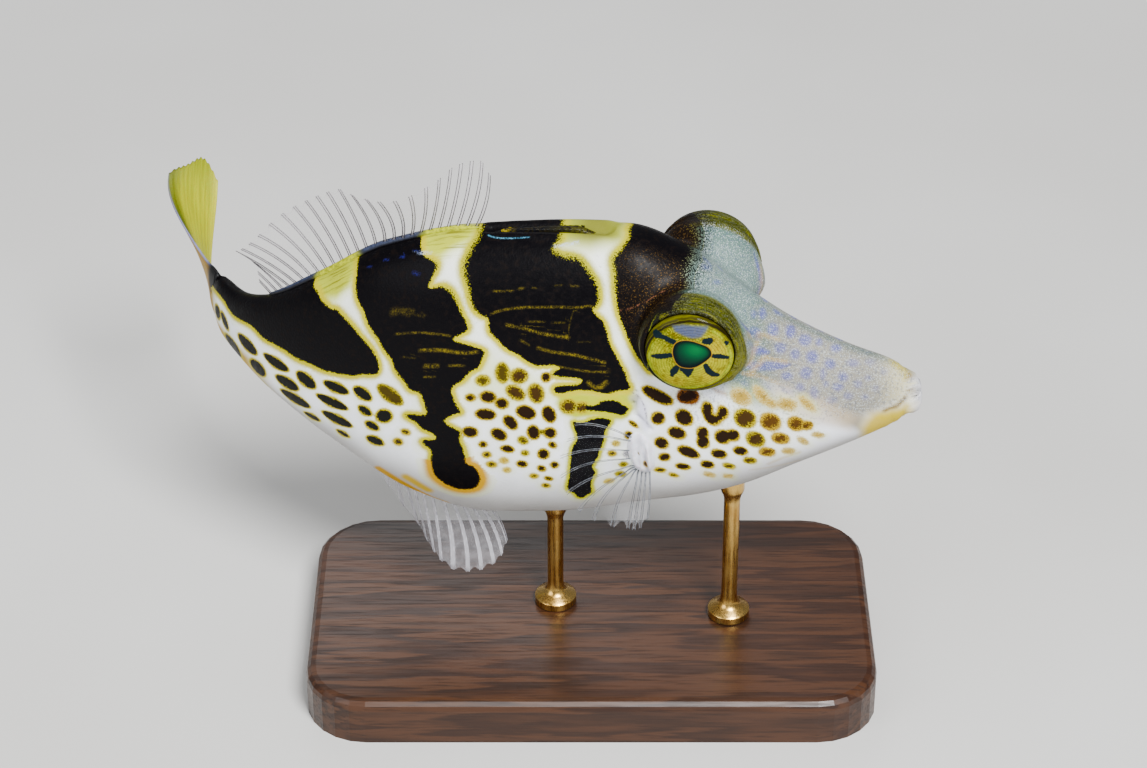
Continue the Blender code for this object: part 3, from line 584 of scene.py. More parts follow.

# Fine broken lines on the skin: their colours, and the half width, strength and points of each line
# the cyan, glint and blue colours are painted highlights: glints of light on the dark skin
LINE_COLOURS = {
    "olive": srgb(126, 110, 22), "pink": srgb(150, 96, 66), "cyan": srgb(96, 172, 206),
    "blue": srgb(40, 44, 150), "glint": srgb(190, 205, 236), "dot": srgb(60, 52, 58),
    "edge": srgb(84, 70, 88),
}
FINE_LINES = {
    "olive": (
        (0.06, 0.9, ((494, 291), (504, 291.5))), (0.06, 0.8, ((507, 291), (512, 291))),
        (0.06, 0.7, ((519, 288.5), (524, 288))), (0.05, 0.5, ((531, 288), (536, 288))),
        (0.06, 0.6, ((555, 286), (561, 285))), (0.06, 0.6, ((572, 286), (577, 286))),
        (0.07, 0.95,
         ((491, 314), (499, 310.6), (518, 307.7), (541, 307), (562, 307), (576, 308), (591, 306))),
        (0.06, 0.6, ((530, 321.7), (544, 321.7))), (0.06, 0.6, ((552, 322.7), (564, 322.7))),
        (0.09, 1.2, ((507, 325), (526, 329), (541, 333.4), (552, 335.6), (569, 337.7))),
        (0.07, 0.8, ((521, 340.6), (529, 345))), (0.05, 0.4, ((579, 342), (588.6, 342))),
        (0.09, 1.2, ((538, 348), (555, 352.7), (576, 355), (591, 359), (605, 362.7))),
        (0.04, 0.4, ((573, 312), (569, 325), (568.6, 338))),
        (0.07, 0.9, ((556, 366), (576, 370), (592, 372), (608, 372))),
        (0.13, 1.6, ((588, 382), (591, 385.5), (597, 387.5), (602, 387), (607, 382))),
        (0.22, 0.45, ((391, 312), (402, 311), (413, 313))), (0.1, 0.4, ((413, 313), (424, 316))),
        (0.07, 0.9, ((396, 334), (410, 333), (421, 332.5), (435, 334), (450, 336))),
        (0.1, 1.4, ((420, 350.6), (434, 350), (446, 350.6), (456, 352.5), (467.5, 353), (477, 352))),
        (0.12, 1, ((424, 366), (438, 366))), (0.08, 0.8, ((449, 365.6), (464, 365.6))),
        (0.07, 0.7, ((424, 377), (434, 377))), (0.06, 0.5, ((404, 357), (414, 358))),
    ),
    "pink": (
        (0.045, 1, ((664, 291), (660, 293))), (0.045, 1, ((657, 295), (652, 297.5))),
        (0.045, 1, ((650, 299), (645, 302))), (0.045, 1, ((641, 304), (636, 306))),
        (0.045, 1, ((633, 307.5), (627, 309.5))), (0.045, 0.9, ((622, 310.5), (617, 311))),
    ),
    "edge": (
        (0.045, 0.9, ((480, 319), (476, 323))), (0.045, 0.9, ((473, 326), (469, 329))),
        # painted shade: a dark line along the gill slit under the flap's edge
        (0.055, 1.6, ((630.6, 391), (636, 394), (641, 398.5), (644, 405), (646, 413), (648, 424))),
    ),
    # painted highlights: cyan glints along the spine's groove, glints on the crests, blue glints on the dark
    # saddles
    "cyan": (
        (0.035, 1.3, ((489, 235.6), (498, 238.4), (512, 238.4), (528, 237.4))),
    ),
    "glint": (
        (0.1, 1.4, ((555, 246.5), (566, 244.6), (578, 242.6))), (0.1, 1.2, ((419, 252.5), (431, 253))),
    ),
    "blue": (
        (0.1, 0.9, ((413, 251.5), (419, 252.5))), (0.07, 0.8, ((400, 257), (403.5, 257))),
        (0.07, 0.8, ((384.5, 260), (388, 259.6))), (0.1, 0.5, ((413, 272.5), (419, 274.5))),
        (0.06, 0.5, ((368, 267), (371, 266.5))), (0.12, 0.35, ((222, 272), (240, 286), (262, 293.5))),
    ),
    "dot": (
        (0.06, 0.8, ((597, 256), (597.8, 256.6))), (0.06, 0.8, ((600, 266), (600.6, 266.8))),
        (0.06, 0.8, ((603.6, 284), (604.2, 284.8))), (0.06, 0.7, ((607, 299.6), (607.6, 300.4))),
    ),
}

# Soft colours of the ground under the markings. A zone that reaches the back starts and ends there
LEMON_GLOW = ((455, 350), (487, 352), (520, 366), (556, 384), (566, 404), (530, 404), (500, 414), (462, 402))
SNOUT_LOW = ((752, 380), (790, 388), (826, 400), (858, 416), (850, 430), (820, 424), (780, 410), (748, 398))
SNOUT = (
    (765, 292), (752, 302), (744, 330), (742, 376), (770, 384), (800, 397), (825, 412), (845, 425),
    (862, 431), (868, 416), (885, 410), (903, 403), (910, 385), (911, 368),
)
JAW = ((860, 427), (864, 419), (870, 412), (885, 411.5), (898, 408), (909, 409))
CREST_FRONT = ((552, 221), (556, 236), (566, 246), (590, 250), (615, 244), (626, 240), (630, 223))
CREST_MIDDLE = ((419, 232), (420, 245), (428, 256), (440, 257), (453, 248), (470, 240), (480, 228))
CREST_REAR = ((312, 285), (321, 298), (336, 298), (350, 285), (357, 268), (360, 255))
BEHIND_PECTORAL = (
    (566, 390), (600, 394), (632, 391), (640, 397), (636, 408), (622, 420), (610, 421), (598, 416),
    (575, 419), (562, 414), (556, 404), (558, 394),
)

# Lilac spots of the head: place, half length, half width, degrees turned clockwise, strength
LILAC_SPOTS = (
    (754, 314, 3, 4, 0, 0.7), (762.5, 313, 3.5, 6, 0, 0.9), (755, 332, 6, 5, 0, 0.7),
    (773, 330, 5.5, 7, 0, 0.9), (790.5, 331, 5, 7, 0, 1), (805, 340, 6.5, 6, 0, 0.9),
    (819, 342, 3.5, 4, 0, 0.8), (836, 348, 5.5, 4, 0, 0.9), (780.5, 348, 6, 5.4, 0, 0.8),
    (795, 354, 5, 5.5, 0, 0.8), (812, 357, 6, 6.5, 0, 0.9), (830, 364, 5.5, 5, 0, 0.9),
    (853, 363, 6, 4, 0, 0.6), (787, 376, 5.5, 4, 0, 0.9), (806, 373, 6, 6, 0, 0.8),
    (823, 374, 3, 6, 0, 0.7), (826, 384, 2.6, 3, 0, 0.7), (843, 377, 5, 5, 0, 0.8),
    (838, 387, 5.5, 4, 0, 0.8), (858, 384, 4, 4, 0, 0.6), (868, 378, 3.5, 3, 0, 0.5),
    (800, 388, 4.5, 5, 0, 0.7), (814, 393, 4.5, 7, 0, 0.6), (848, 396, 4.5, 3.5, 0, 0.6),
    (865, 397, 3.5, 3, 0, 0.5), (780, 312, 7, 3.4, 20, 0.7), (727, 274, 7, 2.6, 40, 0.9),
    (706, 267, 5.5, 2.6, 20, 0.6), (717, 282, 4, 2, 0, 0.6), (733, 246, 4, 3, 0, 0.4),
    (747, 262, 4, 5, 30, 0.5), (712, 250, 5, 4, 0, 0.4), (757, 350, 13, 4.2, 10, 1),
    (765, 366, 26, 4.4, 356, 0.9), (756, 386, 16, 3.6, 8, 0.4), (870, 362, 5, 3.4, 0, 0.4),
    (884, 372, 4, 3, 0, 0.4), (876, 388, 3.4, 3, 0, 0.4), (790, 392, 9, 3, 10, 0.4),
    (832, 400, 6, 4, 0, 0.4),
)

# Strokes of colour on the ground: half width, softness, strength, colour and points
GROUND_STROKES = (
    (0.52, 0.24, 1, (184, 138, 0),
     ((379, 469), (387, 474), (397, 480), (408, 486), (420, 492), (432, 497), (444, 503))),
    (0.44, 0.3, 0.95, (190, 156, 0), ((406, 477), (413, 481), (421, 486), (428, 490))),
    (0.4, 0.35, 0.75, (168, 152, 6), ((896, 364), (905, 370), (908, 377))),
    (0.4, 0.4, 0.7, (196, 172, 0), ((882, 416), (893, 414), (903, 411), (908, 407))),
    # a brown-gold line along the mouth's crease: partly its colour, partly painted shade in the crease
    (0.12, 0.12, 0.9, (112, 88, 8),
     ((909, 373), (910.5, 380), (910, 388), (907, 395), (902, 401), (895, 407), (884, 411))),
    # the gill membrane's lilac grey, deepened with painted shade under the flap's edge
    (0.5, 0.3, 0.55, (168, 164, 196), ((636, 398), (640, 407), (643, 417), (645, 424))),
    (0.1, 0.12, 0.5, (176, 150, 96), ((768, 464), (782, 458), (800, 452))),
    (0.08, 0.1, 0.4, (176, 150, 96), ((750, 470), (776, 466), (800, 460))),
    (0.15, 0.14, 0.55, (170, 142, 80), ((744, 340), (760, 338), (778, 339))),
    (0.15, 0.14, 0.6, (176, 146, 84), ((744, 358), (765, 357), (786, 362))),
    (0.15, 0.14, 0.55, (170, 140, 76), ((742, 373), (760, 376), (778, 383))),
    (0.16, 0.16, 0.7, (150, 104, 20), ((708, 386), (716, 391), (726, 394))),
)

FLANK_WHITE = srgb(248, 251, 255)
BELLY_GREY_AND_SHADE = srgb(172, 170, 168)
CHEEK_WHITE = srgb(244, 246, 255)
HEAD_GREY = srgb(68, 98, 86)
SNOUT_TAN = srgb(134, 130, 118)
TIP_TAN = srgb(206, 196, 148)
SNOUT_WARM = srgb(190, 170, 140)
LILAC = srgb(80, 82, 148)
TEAL = srgb(52, 80, 74)
BRIGHT_YELLOW = srgb(166, 172, 0)
PALE_YELLOW = srgb(206, 218, 50)
CREST_GOLD = srgb(104, 104, 18)
JAW_YELLOW = srgb(190, 164, 0)
LIP_PALE = srgb(200, 198, 202)
LID_GOLD = srgb(52, 56, 2)
LID_EDGE = srgb(98, 98, 2)
LID_DARK = srgb(12, 13, 14)
LID_OVER = srgb(34, 28, 2)
LID_PIT = srgb(20, 18, 2)
TAIL_YELLOW = srgb(176, 144, 0)
TAIL_ORANGE = srgb(176, 140, 0)
SPECK_GOLD = srgb(96, 70, 26)
SPECK_BROWN = srgb(22, 14, 9)
SPECK_PALE = srgb(186, 194, 196)
SPECK_DARK = srgb(70, 80, 104)
CROWN_RIM = srgb(150, 150, 20)
STREAK_OLIVE = srgb(92, 88, 4)
SHEATH_DARK = srgb(10, 10, 16)
SHEATH_TOP_HIGHLIGHT = srgb(58, 66, 92)
PECTORAL_FILM = srgb(214, 212, 216)
PECTORAL_RAY_TONES = (srgb(52, 56, 64), srgb(112, 118, 128))
LOBE_WHITE = srgb(226, 225, 234)
LOBE_SHADE = srgb(150, 150, 168)
TAIL_FIN_LEFT = srgb(156, 158, 0)
TAIL_FIN_RIGHT = srgb(160, 122, 0)
TAIL_FIN_TIP = srgb(106, 118, 2)
TAIL_FIN_BAND = srgb(52, 66, 8)
TAIL_FIN_EDGE = srgb(120, 120, 150)
TAIL_FIN_LIGHT = srgb(200, 196, 60)
TAIL_FIN_ROOT = srgb(7, 8, 10)
SPINE_DARK = srgb(8, 8, 12)
SPINE_OLIVE = srgb(64, 62, 8)
SPINE_GOLD = srgb(128, 112, 10)
SPINE_GRAIN = srgb(24, 20, 10)
WALNUT_DARK = srgb(38, 21, 12)
WALNUT_LIGHT = srgb(66, 40, 23)
WALNUT_PORE = srgb(20, 11, 7)
WALNUT_RED = srgb(52, 28, 16)
BRASS_TONES = (srgb(206, 168, 92), srgb(186, 142, 70))
FLOOR_TONES = (srgb(196, 194, 190), srgb(204, 203, 200))


def eased(value, low, high):
    share = np.clip((value - low) / (high - low), 0, 1)
    return share * share * (3 - 2 * share)


def rounded_off(corners, closed):
    """The line with each corner cut twice."""
    corners = np.asarray(corners, float)
    for _ in range(2):
        ahead = np.roll(corners, -1, axis=0) if closed else corners[1:]
        here = corners if closed else corners[:-1]
        cut = np.stack((here * 0.75 + ahead * 0.25, here * 0.25 + ahead * 0.75), 1).reshape(-1, 2)
        corners = cut if closed else np.vstack((corners[:1], cut, corners[-1:]))
    return corners


def distance_to_shape(places, corners, margin=1.6):
    """How far outside a closed outline places are, and less than nothing inside it."""
    distance = np.full(len(places), FAR)
    near = np.all((places > corners.min(0) - margin) & (places < corners.max(0) + margin), axis=1)
    x, y = places[near].T
    nearest = np.full(x.shape, FAR * FAR)
    inside = np.zeros(x.shape, bool)
    for start, end in zip(corners, np.roll(corners, -1, axis=0)):
        _, off_x, off_y = beside_run(x, y, start, end)
        nearest = np.minimum(nearest, off_x ** 2 + off_y ** 2)
        (x0, y0), (x1, y1) = start, end
        crossing = x0 + (x1 - x0) * (y - y0) / (y1 - y0 or 1e-9)
        inside ^= ((y0 > y) != (y1 > y)) & (x < crossing)
    distance[near] = np.where(inside, -1, 1) * np.sqrt(nearest)
    return distance


def over_back(outline, depth=-3.0, beyond=0.0):
    """An outline on the flank that starts and ends at the back, closed on the far side of it."""
    corners = on_flank(outline)
    if beyond:
        corners = np.vstack((corners, corners[-1:] + (beyond, 0)))
    return np.vstack((corners, ((corners[-1, 0], depth), (corners[0, 0], depth))))


def spot_distance(places, frames):
    """How far outside each of a row of oval spots places are, as a table with a column for each spot."""
    columns = []
    for centre, long_end, short_end in frames:
        basis = np.linalg.inv(np.stack((long_end - centre, short_end - centre), 1))
        away = places - centre
        size = np.sqrt(((away @ basis.T) ** 2).sum(1)).clip(1e-4)
        columns.append(np.linalg.norm(away, axis=1) * (1 - 1 / size) * (size > 0.15)
                       - (size <= 0.15) * 0.85 * np.linalg.norm(short_end - centre))
    return np.stack(columns, 1)


def spot_frames(rows):
    """The middle of each spot and the ends of its two half axes, on the flank."""
    table = np.array([row[:5] for row in rows], float)
    turn = np.radians(table[:, 4])
    middle = table[:, :2]
    long_end = middle + table[:, 2:3] * np.stack((np.cos(turn), np.sin(turn)), 1)
    short_end = middle + table[:, 3:4] * np.stack((-np.sin(turn), np.cos(turn)), 1)
    return np.stack([on_flank(part) for part in (middle, long_end, short_end)], 1)


def beside_line(x, y, corners):
    """How far places are from a line through corners, the same with a sign, and how far beyond its ends."""
    best, signed, beyond = np.full(x.shape, FAR), np.full(x.shape, LINE_REACH), np.zeros(x.shape)
    last = len(corners) - 2
    for i in range(last + 1):
        (x0, y0), (x1, y1) = corners[i], corners[i + 1]
        length = math.hypot(x1 - x0, y1 - y0)
        ux, uy = (x1 - x0) / length, (y1 - y0) / length
        run = (x - x0) * ux + (y - y0) * uy
        off = (y - y0) * ux - (x - x0) * uy
        outside = np.maximum(-run, run - length).clip(0)
        away = np.hypot(off, outside)
        closer = away < best
        at_end = (i == 0) & (run < 0) | (i == last) & (run > length)
        best, signed = np.where(closer, away, best), np.where(closer, off, signed)
        beyond = np.where(closer, np.where(at_end, outside, 0.0), beyond)
    return best, signed, beyond


def line_marks(places):
    """Signed distance to the nearest fine line, how much of it is there, its half width and its colour."""
    signed, share = np.full(len(places), LINE_REACH), np.zeros(len(places))
    half = np.full(len(places), 0.05)
    colours = all_over(LINE_COLOURS["olive"], len(places))
    lines = [(colour, *row) for colour, rows in FINE_LINES.items() for row in rows]
    for colour, half_width, strength, points in lines:
        corners = on_flank(points)
        corners = rounded_off(corners, False) if len(corners) > 2 else corners
        box = np.all((places > corners.min(0) - 1) & (places < corners.max(0) + 1), axis=1)
        best, best_signed, beyond = beside_line(*places[box].T, corners)
        present = LINE_STRENGTH * strength * np.clip(1 - beyond / 0.14, 0, 1)
        present = present * np.clip((0.45 - np.abs(best_signed)) / 0.2, 0, 1)
        taken = (best < np.abs(signed[box])) & (best < LINE_REACH)
        chosen = np.flatnonzero(box)[taken]
        signed[chosen] = best_signed[taken]
        share[chosen] = present[taken]
        half[chosen] = half_width
        colours[chosen] = LINE_COLOURS[colour]
    return signed, share, half, colours


def all_over(colour, count):
    """The same colour at every point."""
    return np.tile(colour, (count, 1))


def tinted(colour, *coats):
    """Colours with coats laid over them in turn: each has its share at every point, and its colour."""
    for share, other in coats:
        colour = colour * (1 - share[:, None]) + np.asarray(other) * share[:, None]
    return colour


def on_lid(points, side, hand):
    """Outward, off the axis, rearward and up on an eye turret, where its lid starts, and what is near."""
    outward, radial, across = eye_frame(points, hand)
    rear, up = across @ EYE_REARWARD, across[:, 2]
    start = -0.1 - 0.8 * np.maximum(up / np.maximum(radial, 1e-6), 0)
    near = (np.hypot(outward, radial) < LID_REACH) * (side * hand > 2)
    return outward, radial, rear, up, start, near


def paint_ground(points, places, station, side, height):
    """The soft colours of the skin."""
    girth = places[:, 1]
    down = girth / np.interp(station, GIRTH_STATIONS, GIRTHS[:, -1])

    def zone(corners, soft):
        return 1 - eased(distance_to_shape(places, corners), -soft, soft)

    # the head is grey-green on top, its snout tan with lilac spots, and its ridge teal
    head_top = eased(-station, -20, -18) * eased(station, 9.5, 12.5) * (1 - eased(girth, 7.5, 10.5))
    ridge = bump(girth, 0, 0.55) * eased(-station, -12.5, -10) * eased(station, 0.8, 1.6)
    ground = tinted(
        all_over(FLANK_WHITE, len(points)),
        (eased(-station, -19, -15) * 0.8, CHEEK_WHITE),
        # the white greys toward the belly: partly the belly's own grey, partly painted shade of the underside
        (eased(down, 0.66, 0.86), BELLY_GREY_AND_SHADE),
        (zone(over_back(SNOUT, -4.0), 0.7), SNOUT_TAN),
        (zone(on_flank(SNOUT_LOW), 0.6) * 0.7, SNOUT_WARM),
        (zone(on_flank(LEMON_GLOW), 1.0) * 0.4, PALE_YELLOW),
        (head_top * 0.92, HEAD_GREY),
        (ridge * 0.6, TEAL),
        (eased(-station, -3.2, -0.8) * (1 - eased(down, 0.5, 0.8)) * 0.6, TIP_TAN),
    )
    for distance, row in zip(spot_distance(places, spot_frames(LILAC_SPOTS)).T, LILAC_SPOTS):
        ground = tinted(ground, ((1 - eased(distance, -0.2, 0.2)) * row[5] * 0.85, LILAC),
                        (bump(distance, 0.22, 0.12) * row[5] * 0.3, SNOUT_TAN))

    # the saddles' crests are yellow on the white bars
    front = zone(over_back(CREST_FRONT), 0.9)
    ground = tinted(ground, (front * (1 - eased(girth, 2.4, 6)) * 0.75, PALE_YELLOW),
                    (front * (1 - eased(girth, 1, 3.6)) * 0.95, CREST_GOLD))
    for outline in (CREST_MIDDLE, CREST_REAR):
        corners = over_back(outline)
        glow = 1 - eased(distance_to_shape(places, corners), -0.2, 1.1)
        ground = tinted(ground, (glow * 0.6, PALE_YELLOW), (zone(corners, 0.45) * 0.95, BRIGHT_YELLOW))

    jaw = on_flank(JAW)
    jaw = np.vstack((jaw, jaw[::-1] + np.array((0.0, 3.5))))
    ground = tinted(ground, (zone(on_flank(BEHIND_PECTORAL), 0.3), BRIGHT_YELLOW),
                    ((1 - eased(distance_to_shape(places, jaw), -0.7, 0.5)) * 0.95, JAW_YELLOW),
                    (1 - eased(station, -0.3, 0.15), LIP_PALE))
    for half_width, soft, strength, colour, line in GROUND_STROKES:
        away = distance_to_line(*places.T, on_flank(line))
        stroke = (1 - eased(away, half_width - soft, half_width + soft)) * strength
        ground = tinted(ground, (stroke, srgb(*colour)))

    # the eyelids are olive gold, dark behind
    for hand in (1, -1):
        outward, radial, rear, up, start, near = on_lid(points, side, hand)
        rear, up = rear / np.maximum(radial, 1e-6), up / np.maximum(radial, 1e-6)
        near = near * (radial < 4.6)
        start = start - 0.5 * (hand > 0) * eased(up, 0.2, 0.7)
        lid = eased(outward, start, start + 0.5) * near
        bright = lid * (1 - eased(up, -0.4, 0.5)) * eased(-rear, -0.1, 0.5)
        shade = eased(rear + 0.25 * up, 0.2 - 0.35 * (hand > 0), 0.75) * near
        ground = tinted(
            ground,
            (near * eased(outward, start - 1.6, start) * 0.6 * (height > 6), HEAD_GREY),
            (lid, LID_GOLD),
            (lid * bump(outward, start + 0.35, 0.16) * eased(up, 0.3, 0.8) * 0.7, LID_EDGE),
            (bright * 0.8, LID_EDGE),
            (shade * 0.95, LID_DARK),
            (lid * (1 - shade) * eased(outward, 1.25, 1.5) * 0.6, LID_OVER),
        )

    under = eased(station, 50.5, 55) * eased(down, 0.52, 0.68)
    ground = tinted(ground, (eased(station, 58.5, 61.5), TAIL_YELLOW), (under, TAIL_ORANGE))
    return ground.clip(0, 1)


def paint_skin(skin):
    """Writes the markings as attributes: how far each point is from an edge, and the colours beside it."""
    points = read_points(skin)
    station, side, height = fish_place(points)
    places = flank_place(points)
    girth = np.abs(places[:, 1])
    places[:, 1] = girth
    count = len(points)
    nearest = np.full(count, FAR)
    ink, rim = all_over(INK, count), all_over(INK, count)
    rim_width, soft = np.full(count, 0.2), np.full(count, 0.06)

    def add_mark(distance, kind):
        nonlocal nearest
        middle, edge, width, softness = KINDS[kind]
        closer = distance < nearest
        nearest = np.where(closer, distance, nearest)
        ink[closer], rim[closer] = middle, edge
        rim_width[closer], soft[closer] = width, softness

    def distance_to_mark(corners):
        return distance_to_shape(places, rounded_off(corners, True))

    nape = distance_to_mark(over_back(SADDLE_NAPE, -5.0))
    rear = distance_to_mark(over_back(SADDLE_REAR))
    for distance in (nape, distance_to_mark(over_back(SADDLE_MIDDLE)), rear,
                     distance_to_mark(over_back(SADDLE_TAIL, beyond=3.0))):
        add_mark(distance, "saddle")
    for outline, kind in ((BAR_UPPER, "bar"), (BAR_LOWER, "bar"), (CHEEK_CRESCENT, "dark"),
                          (CHEEK_BEAN, "dark")):
        add_mark(distance_to_mark(on_flank(outline)), kind)
    for kind, spots in SPOTS.items():
        for distance in spot_distance(places, spot_frames(spots)).T:
            add_mark(distance, kind)

    # the foot of the rear saddle has a broad orange rim
    foot = (rear < 1.2) & (girth > 20.4 - 0.3 * np.abs(station - 36)) & (ink[:, 2] == KINDS["saddle"][0][2])
    rim[foot], rim_width[foot] = FOOT_RIM, FOOT_RIM_WIDTH

    # the front edge of the nape's saddle fades into the head, grain by grain
    ground = paint_ground(points, places, station, side, height)
    front = on_flank(SADDLE_NAPE[-9:])
    front = np.vstack((front, front[-1:] - (0, 4)))
    fading = bump(distance_to_line(*places.T, front), 0, 1.5) * (nape < 2.4)
    crown = (1 - eased(girth, 3.5, 8.5)) * (1 - eased(np.abs(station - 28.5), 5, 9)) * (1 - fading)
    soft = soft + fading * 0.85 + crown * 0.14
    rim = tinted(rim, (0.6 * crown, CROWN_RIM), (fading, ground))
    rim_width = rim_width * (1 + 0.4 * crown) * (1 - 0.95 * eased(fading, 0.05, 0.4))

    down = girth / np.interp(station, GIRTH_STATIONS, GIRTHS[:, -1])
    head_grain = eased(-station, -19.5, -16.5) * (1 - eased(down, 0.5, 0.62))
    on_nape = (nape < 0.6) & (nape <= nearest + 1e-6)
    dust = on_nape * eased(girth, 0.6, 3.2) * (1 - eased(girth, 6, 12))
    dust = dust * (0.25 + 0.75 * eased(-station, -23, -18))
    crest = (1 - eased(girth, 1.6, 3.2)) * eased(station, 32, 34) * (1 - eased(station, 50, 53))
    lid_grain, lid_level, lid_round = np.zeros((3, count))
    for hand in (1, -1):
        outward, _, behind, up, start, near = on_lid(points, side, hand)
        lid_grain += eased(outward, start - 0.2, start + 0.4) * near
        lid_level += outward * near
        lid_round += np.arctan2(behind, up) * TURRET_RADIUS * near
    rim = tinted(rim, (lid_grain, LID_DARK))
    rim_width = rim_width * (1 - 0.9 * lid_grain)

    lines, line_share, line_half, line_colour = line_marks(places)
    write_colour(skin, "ground", ground)
    write_colour(skin, "ink", ink)
    write_colour(skin, "rim", rim)
    write_vector(skin, "marks", nearest, rim_width, soft)
    write_colour(skin, "line_colour", line_colour)
    write_vector(skin, "lines", lines, line_share, line_half)
    write_vector(skin, "grain", head_grain * (1 - 0.85 * lid_grain), dust, lid_grain)
    write_vector(skin, "streaks", station, girth, crest)
    write_vector(skin, "lid", lid_level, lid_round, np.zeros(count))


# Meshes


def read_points(piece):
    values = np.empty(len(piece.data.vertices) * 3)
    piece.data.vertices.foreach_get("co", values)
    return values.reshape(-1, 3) / MM


def write_points(piece, points):
    piece.data.vertices.foreach_set("co", (points * MM).ravel())
    piece.data.update()


def write_colour(piece, name, colours):
    values = np.concatenate((colours, np.ones((len(colours), 1))), 1)
    piece.data.attributes.new(name, "FLOAT_COLOR", "POINT").data.foreach_set("color", values.ravel())


def write_vector(piece, name, x, y, z):
    values = np.stack((x, y, z), 1)
    piece.data.attributes.new(name, "FLOAT_VECTOR", "POINT").data.foreach_set("vector", values.ravel())


def nothing_selected():
    bpy.ops.object.select_all(action="DESELECT")


def picked(*pieces):
    nothing_selected()
    for piece in pieces:
        piece.select_set(True)
    bpy.context.view_layer.objects.active = pieces[0]


def settled_at_origin(piece):
    picked(piece)
    bpy.ops.object.transform_apply(location=True, rotation=True, scale=True)


def apply_modifier(piece, kind, **settings):
    picked(piece)
    modifier = piece.modifiers.new(kind.lower(), kind)
    for key, value in settings.items():
        setattr(modifier, key, value)
    bpy.ops.object.modifier_apply(modifier=modifier.name)


def facing(outward):
    """The turn whose Z points outward."""
    return Vector(outward).to_track_quat("Z", "Y").to_euler()


def cut_away(piece, tool):
    settled_at_origin(tool)
    apply_modifier(piece, "BOOLEAN", operation="DIFFERENCE", solver="EXACT", object=tool)
    bpy.data.objects.remove(tool, do_unlink=True)


def new_ball(name, segments, rings):
    nothing_selected()
    bpy.ops.mesh.primitive_uv_sphere_add(segments=segments, ring_count=rings, radius=MM)
    ball = bpy.context.object
    ball.name = name
    return ball


def new_object(name, data):
    made = bpy.data.objects.new(name, data)
    bpy.context.scene.collection.objects.link(made)
    return made


def turned_outward(piece):
    """Points the faces of a closed piece outward."""
    picked(piece)
    bpy.ops.object.mode_set(mode="EDIT")
    bpy.ops.mesh.select_all(action="SELECT")
    bpy.ops.mesh.normals_make_consistent(inside=False)
    bpy.ops.object.mode_set(mode="OBJECT")


def make_skin():
    """The body in one skin: drawn out from a ball, its eye turrets joined and cupped, and settled."""
    skin = new_ball("fish_skin", 48, 96)
    x, y, z = read_points(skin).T
    polar = np.arccos(z.clip(-1, 1))
    around = np.arctan2(y, x)
    station = -0.58 + (STANDARD_LENGTH + 0.5) * polar / math.pi
    size = np.minimum(np.sin(polar) * 8, 1.0)
    back, belly, half_width, widest = section_at(station)
    across, level = (np.sign(part) * np.abs(part) ** FULLNESS for part in (np.cos(around), np.sin(around)))
    height = widest + size * np.where(level > 0, level * (back - widest), level * (widest - belly))
    write_points(skin, point_at(station, size * across * half_width, height))
    turned_outward(skin)

    turrets = []
    for hand in (1, -1):
        nothing_selected()
        bpy.ops.mesh.primitive_uv_sphere_add(segments=40, ring_count=24, radius=TURRET_RADIUS * MM,
                                             location=EYE_CENTRES[hand] * MM)
        turrets.append(bpy.context.object)
    picked(skin, *turrets)
    bpy.ops.object.join()
    settled_at_origin(skin)
    apply_modifier(skin, "REMESH", mode="VOXEL", voxel_size=ROUGH_VOXEL * MM)
    for hand in (1, -1):
        outward = EYE_OUTWARD[hand]
        nothing_selected()
        middle = EYE_CENTRES[hand] + outward * (TURRET_FLAT + FLAT_CUTTER_OUT)
        bpy.ops.mesh.primitive_cube_add(size=FLAT_CUTTER * MM, location=middle * MM, rotation=facing(outward))
        cut_away(skin, bpy.context.object)
        nothing_selected()
        bpy.ops.mesh.primitive_uv_sphere_add(
            segments=48, ring_count=24, radius=CUP_RADIUS * MM, scale=(1, 1, CUP_DEPTH / CUP_RADIUS),
            location=(EYE_CENTRES[hand] + outward * CUP_LEVEL) * MM, rotation=facing(outward))
        cut_away(skin, bpy.context.object)
    apply_modifier(skin, "REMESH", mode="VOXEL", voxel_size=FINE_VOXEL * MM)
    write_points(skin, settle(read_points(skin)))
    picked(skin)
    bpy.ops.object.shade_smooth()
    return skin


# Materials


def new_material(name, roughness, **sockets):
    material = bpy.data.materials.new(name)
    material.use_nodes = True
    shader = material.node_tree.nodes["Principled BSDF"]
    shader.inputs["Roughness"].default_value = roughness
    for key, value in sockets.items():
        shader.inputs[key.replace("_", " ")].default_value = value
    return material, material.node_tree, shader


def node(tree, kind, settings=None, **inputs):
    made = tree.nodes.new(kind)
    for key, value in (settings or {}).items():
        setattr(made, key, value)
    for key, value in inputs.items():
        feed(tree, made.inputs[key.replace("_", " ")], value)
    return made


def feed(tree, socket, value):
    if isinstance(value, bpy.types.NodeSocket):
        tree.links.new(value, socket)
    else:
        socket.default_value = value


def sums(tree, operation, first, second=0.0, third=0.0, clamp=False):
    made = tree.nodes.new("ShaderNodeMath")
    made.operation = operation
    made.use_clamp = clamp
    for socket, value in zip(made.inputs, (first, second, third)):
        feed(tree, socket, value)
    return made.outputs[0]


def times(tree, first, second, clamp=False):
    return sums(tree, "MULTIPLY", first, second, clamp=clamp)


def blended(tree, share, first, second, kind="MIX"):
    made = tree.nodes.new("ShaderNodeMix")
    made.data_type = "RGBA"
    made.blend_type = kind
    feed(tree, made.inputs[0], share)
    for socket, value in ((made.inputs[6], first), (made.inputs[7], second)):
        feed(tree, socket, value if isinstance(value, bpy.types.NodeSocket) else (*value, 1.0))
    return made.outputs[2]


def coated(tree, colour, *coats):
    """A colour with coats blended over it in turn: each has its share, and its colour."""
    for share, other in coats:
        colour = blended(tree, share, colour, other)
    return colour


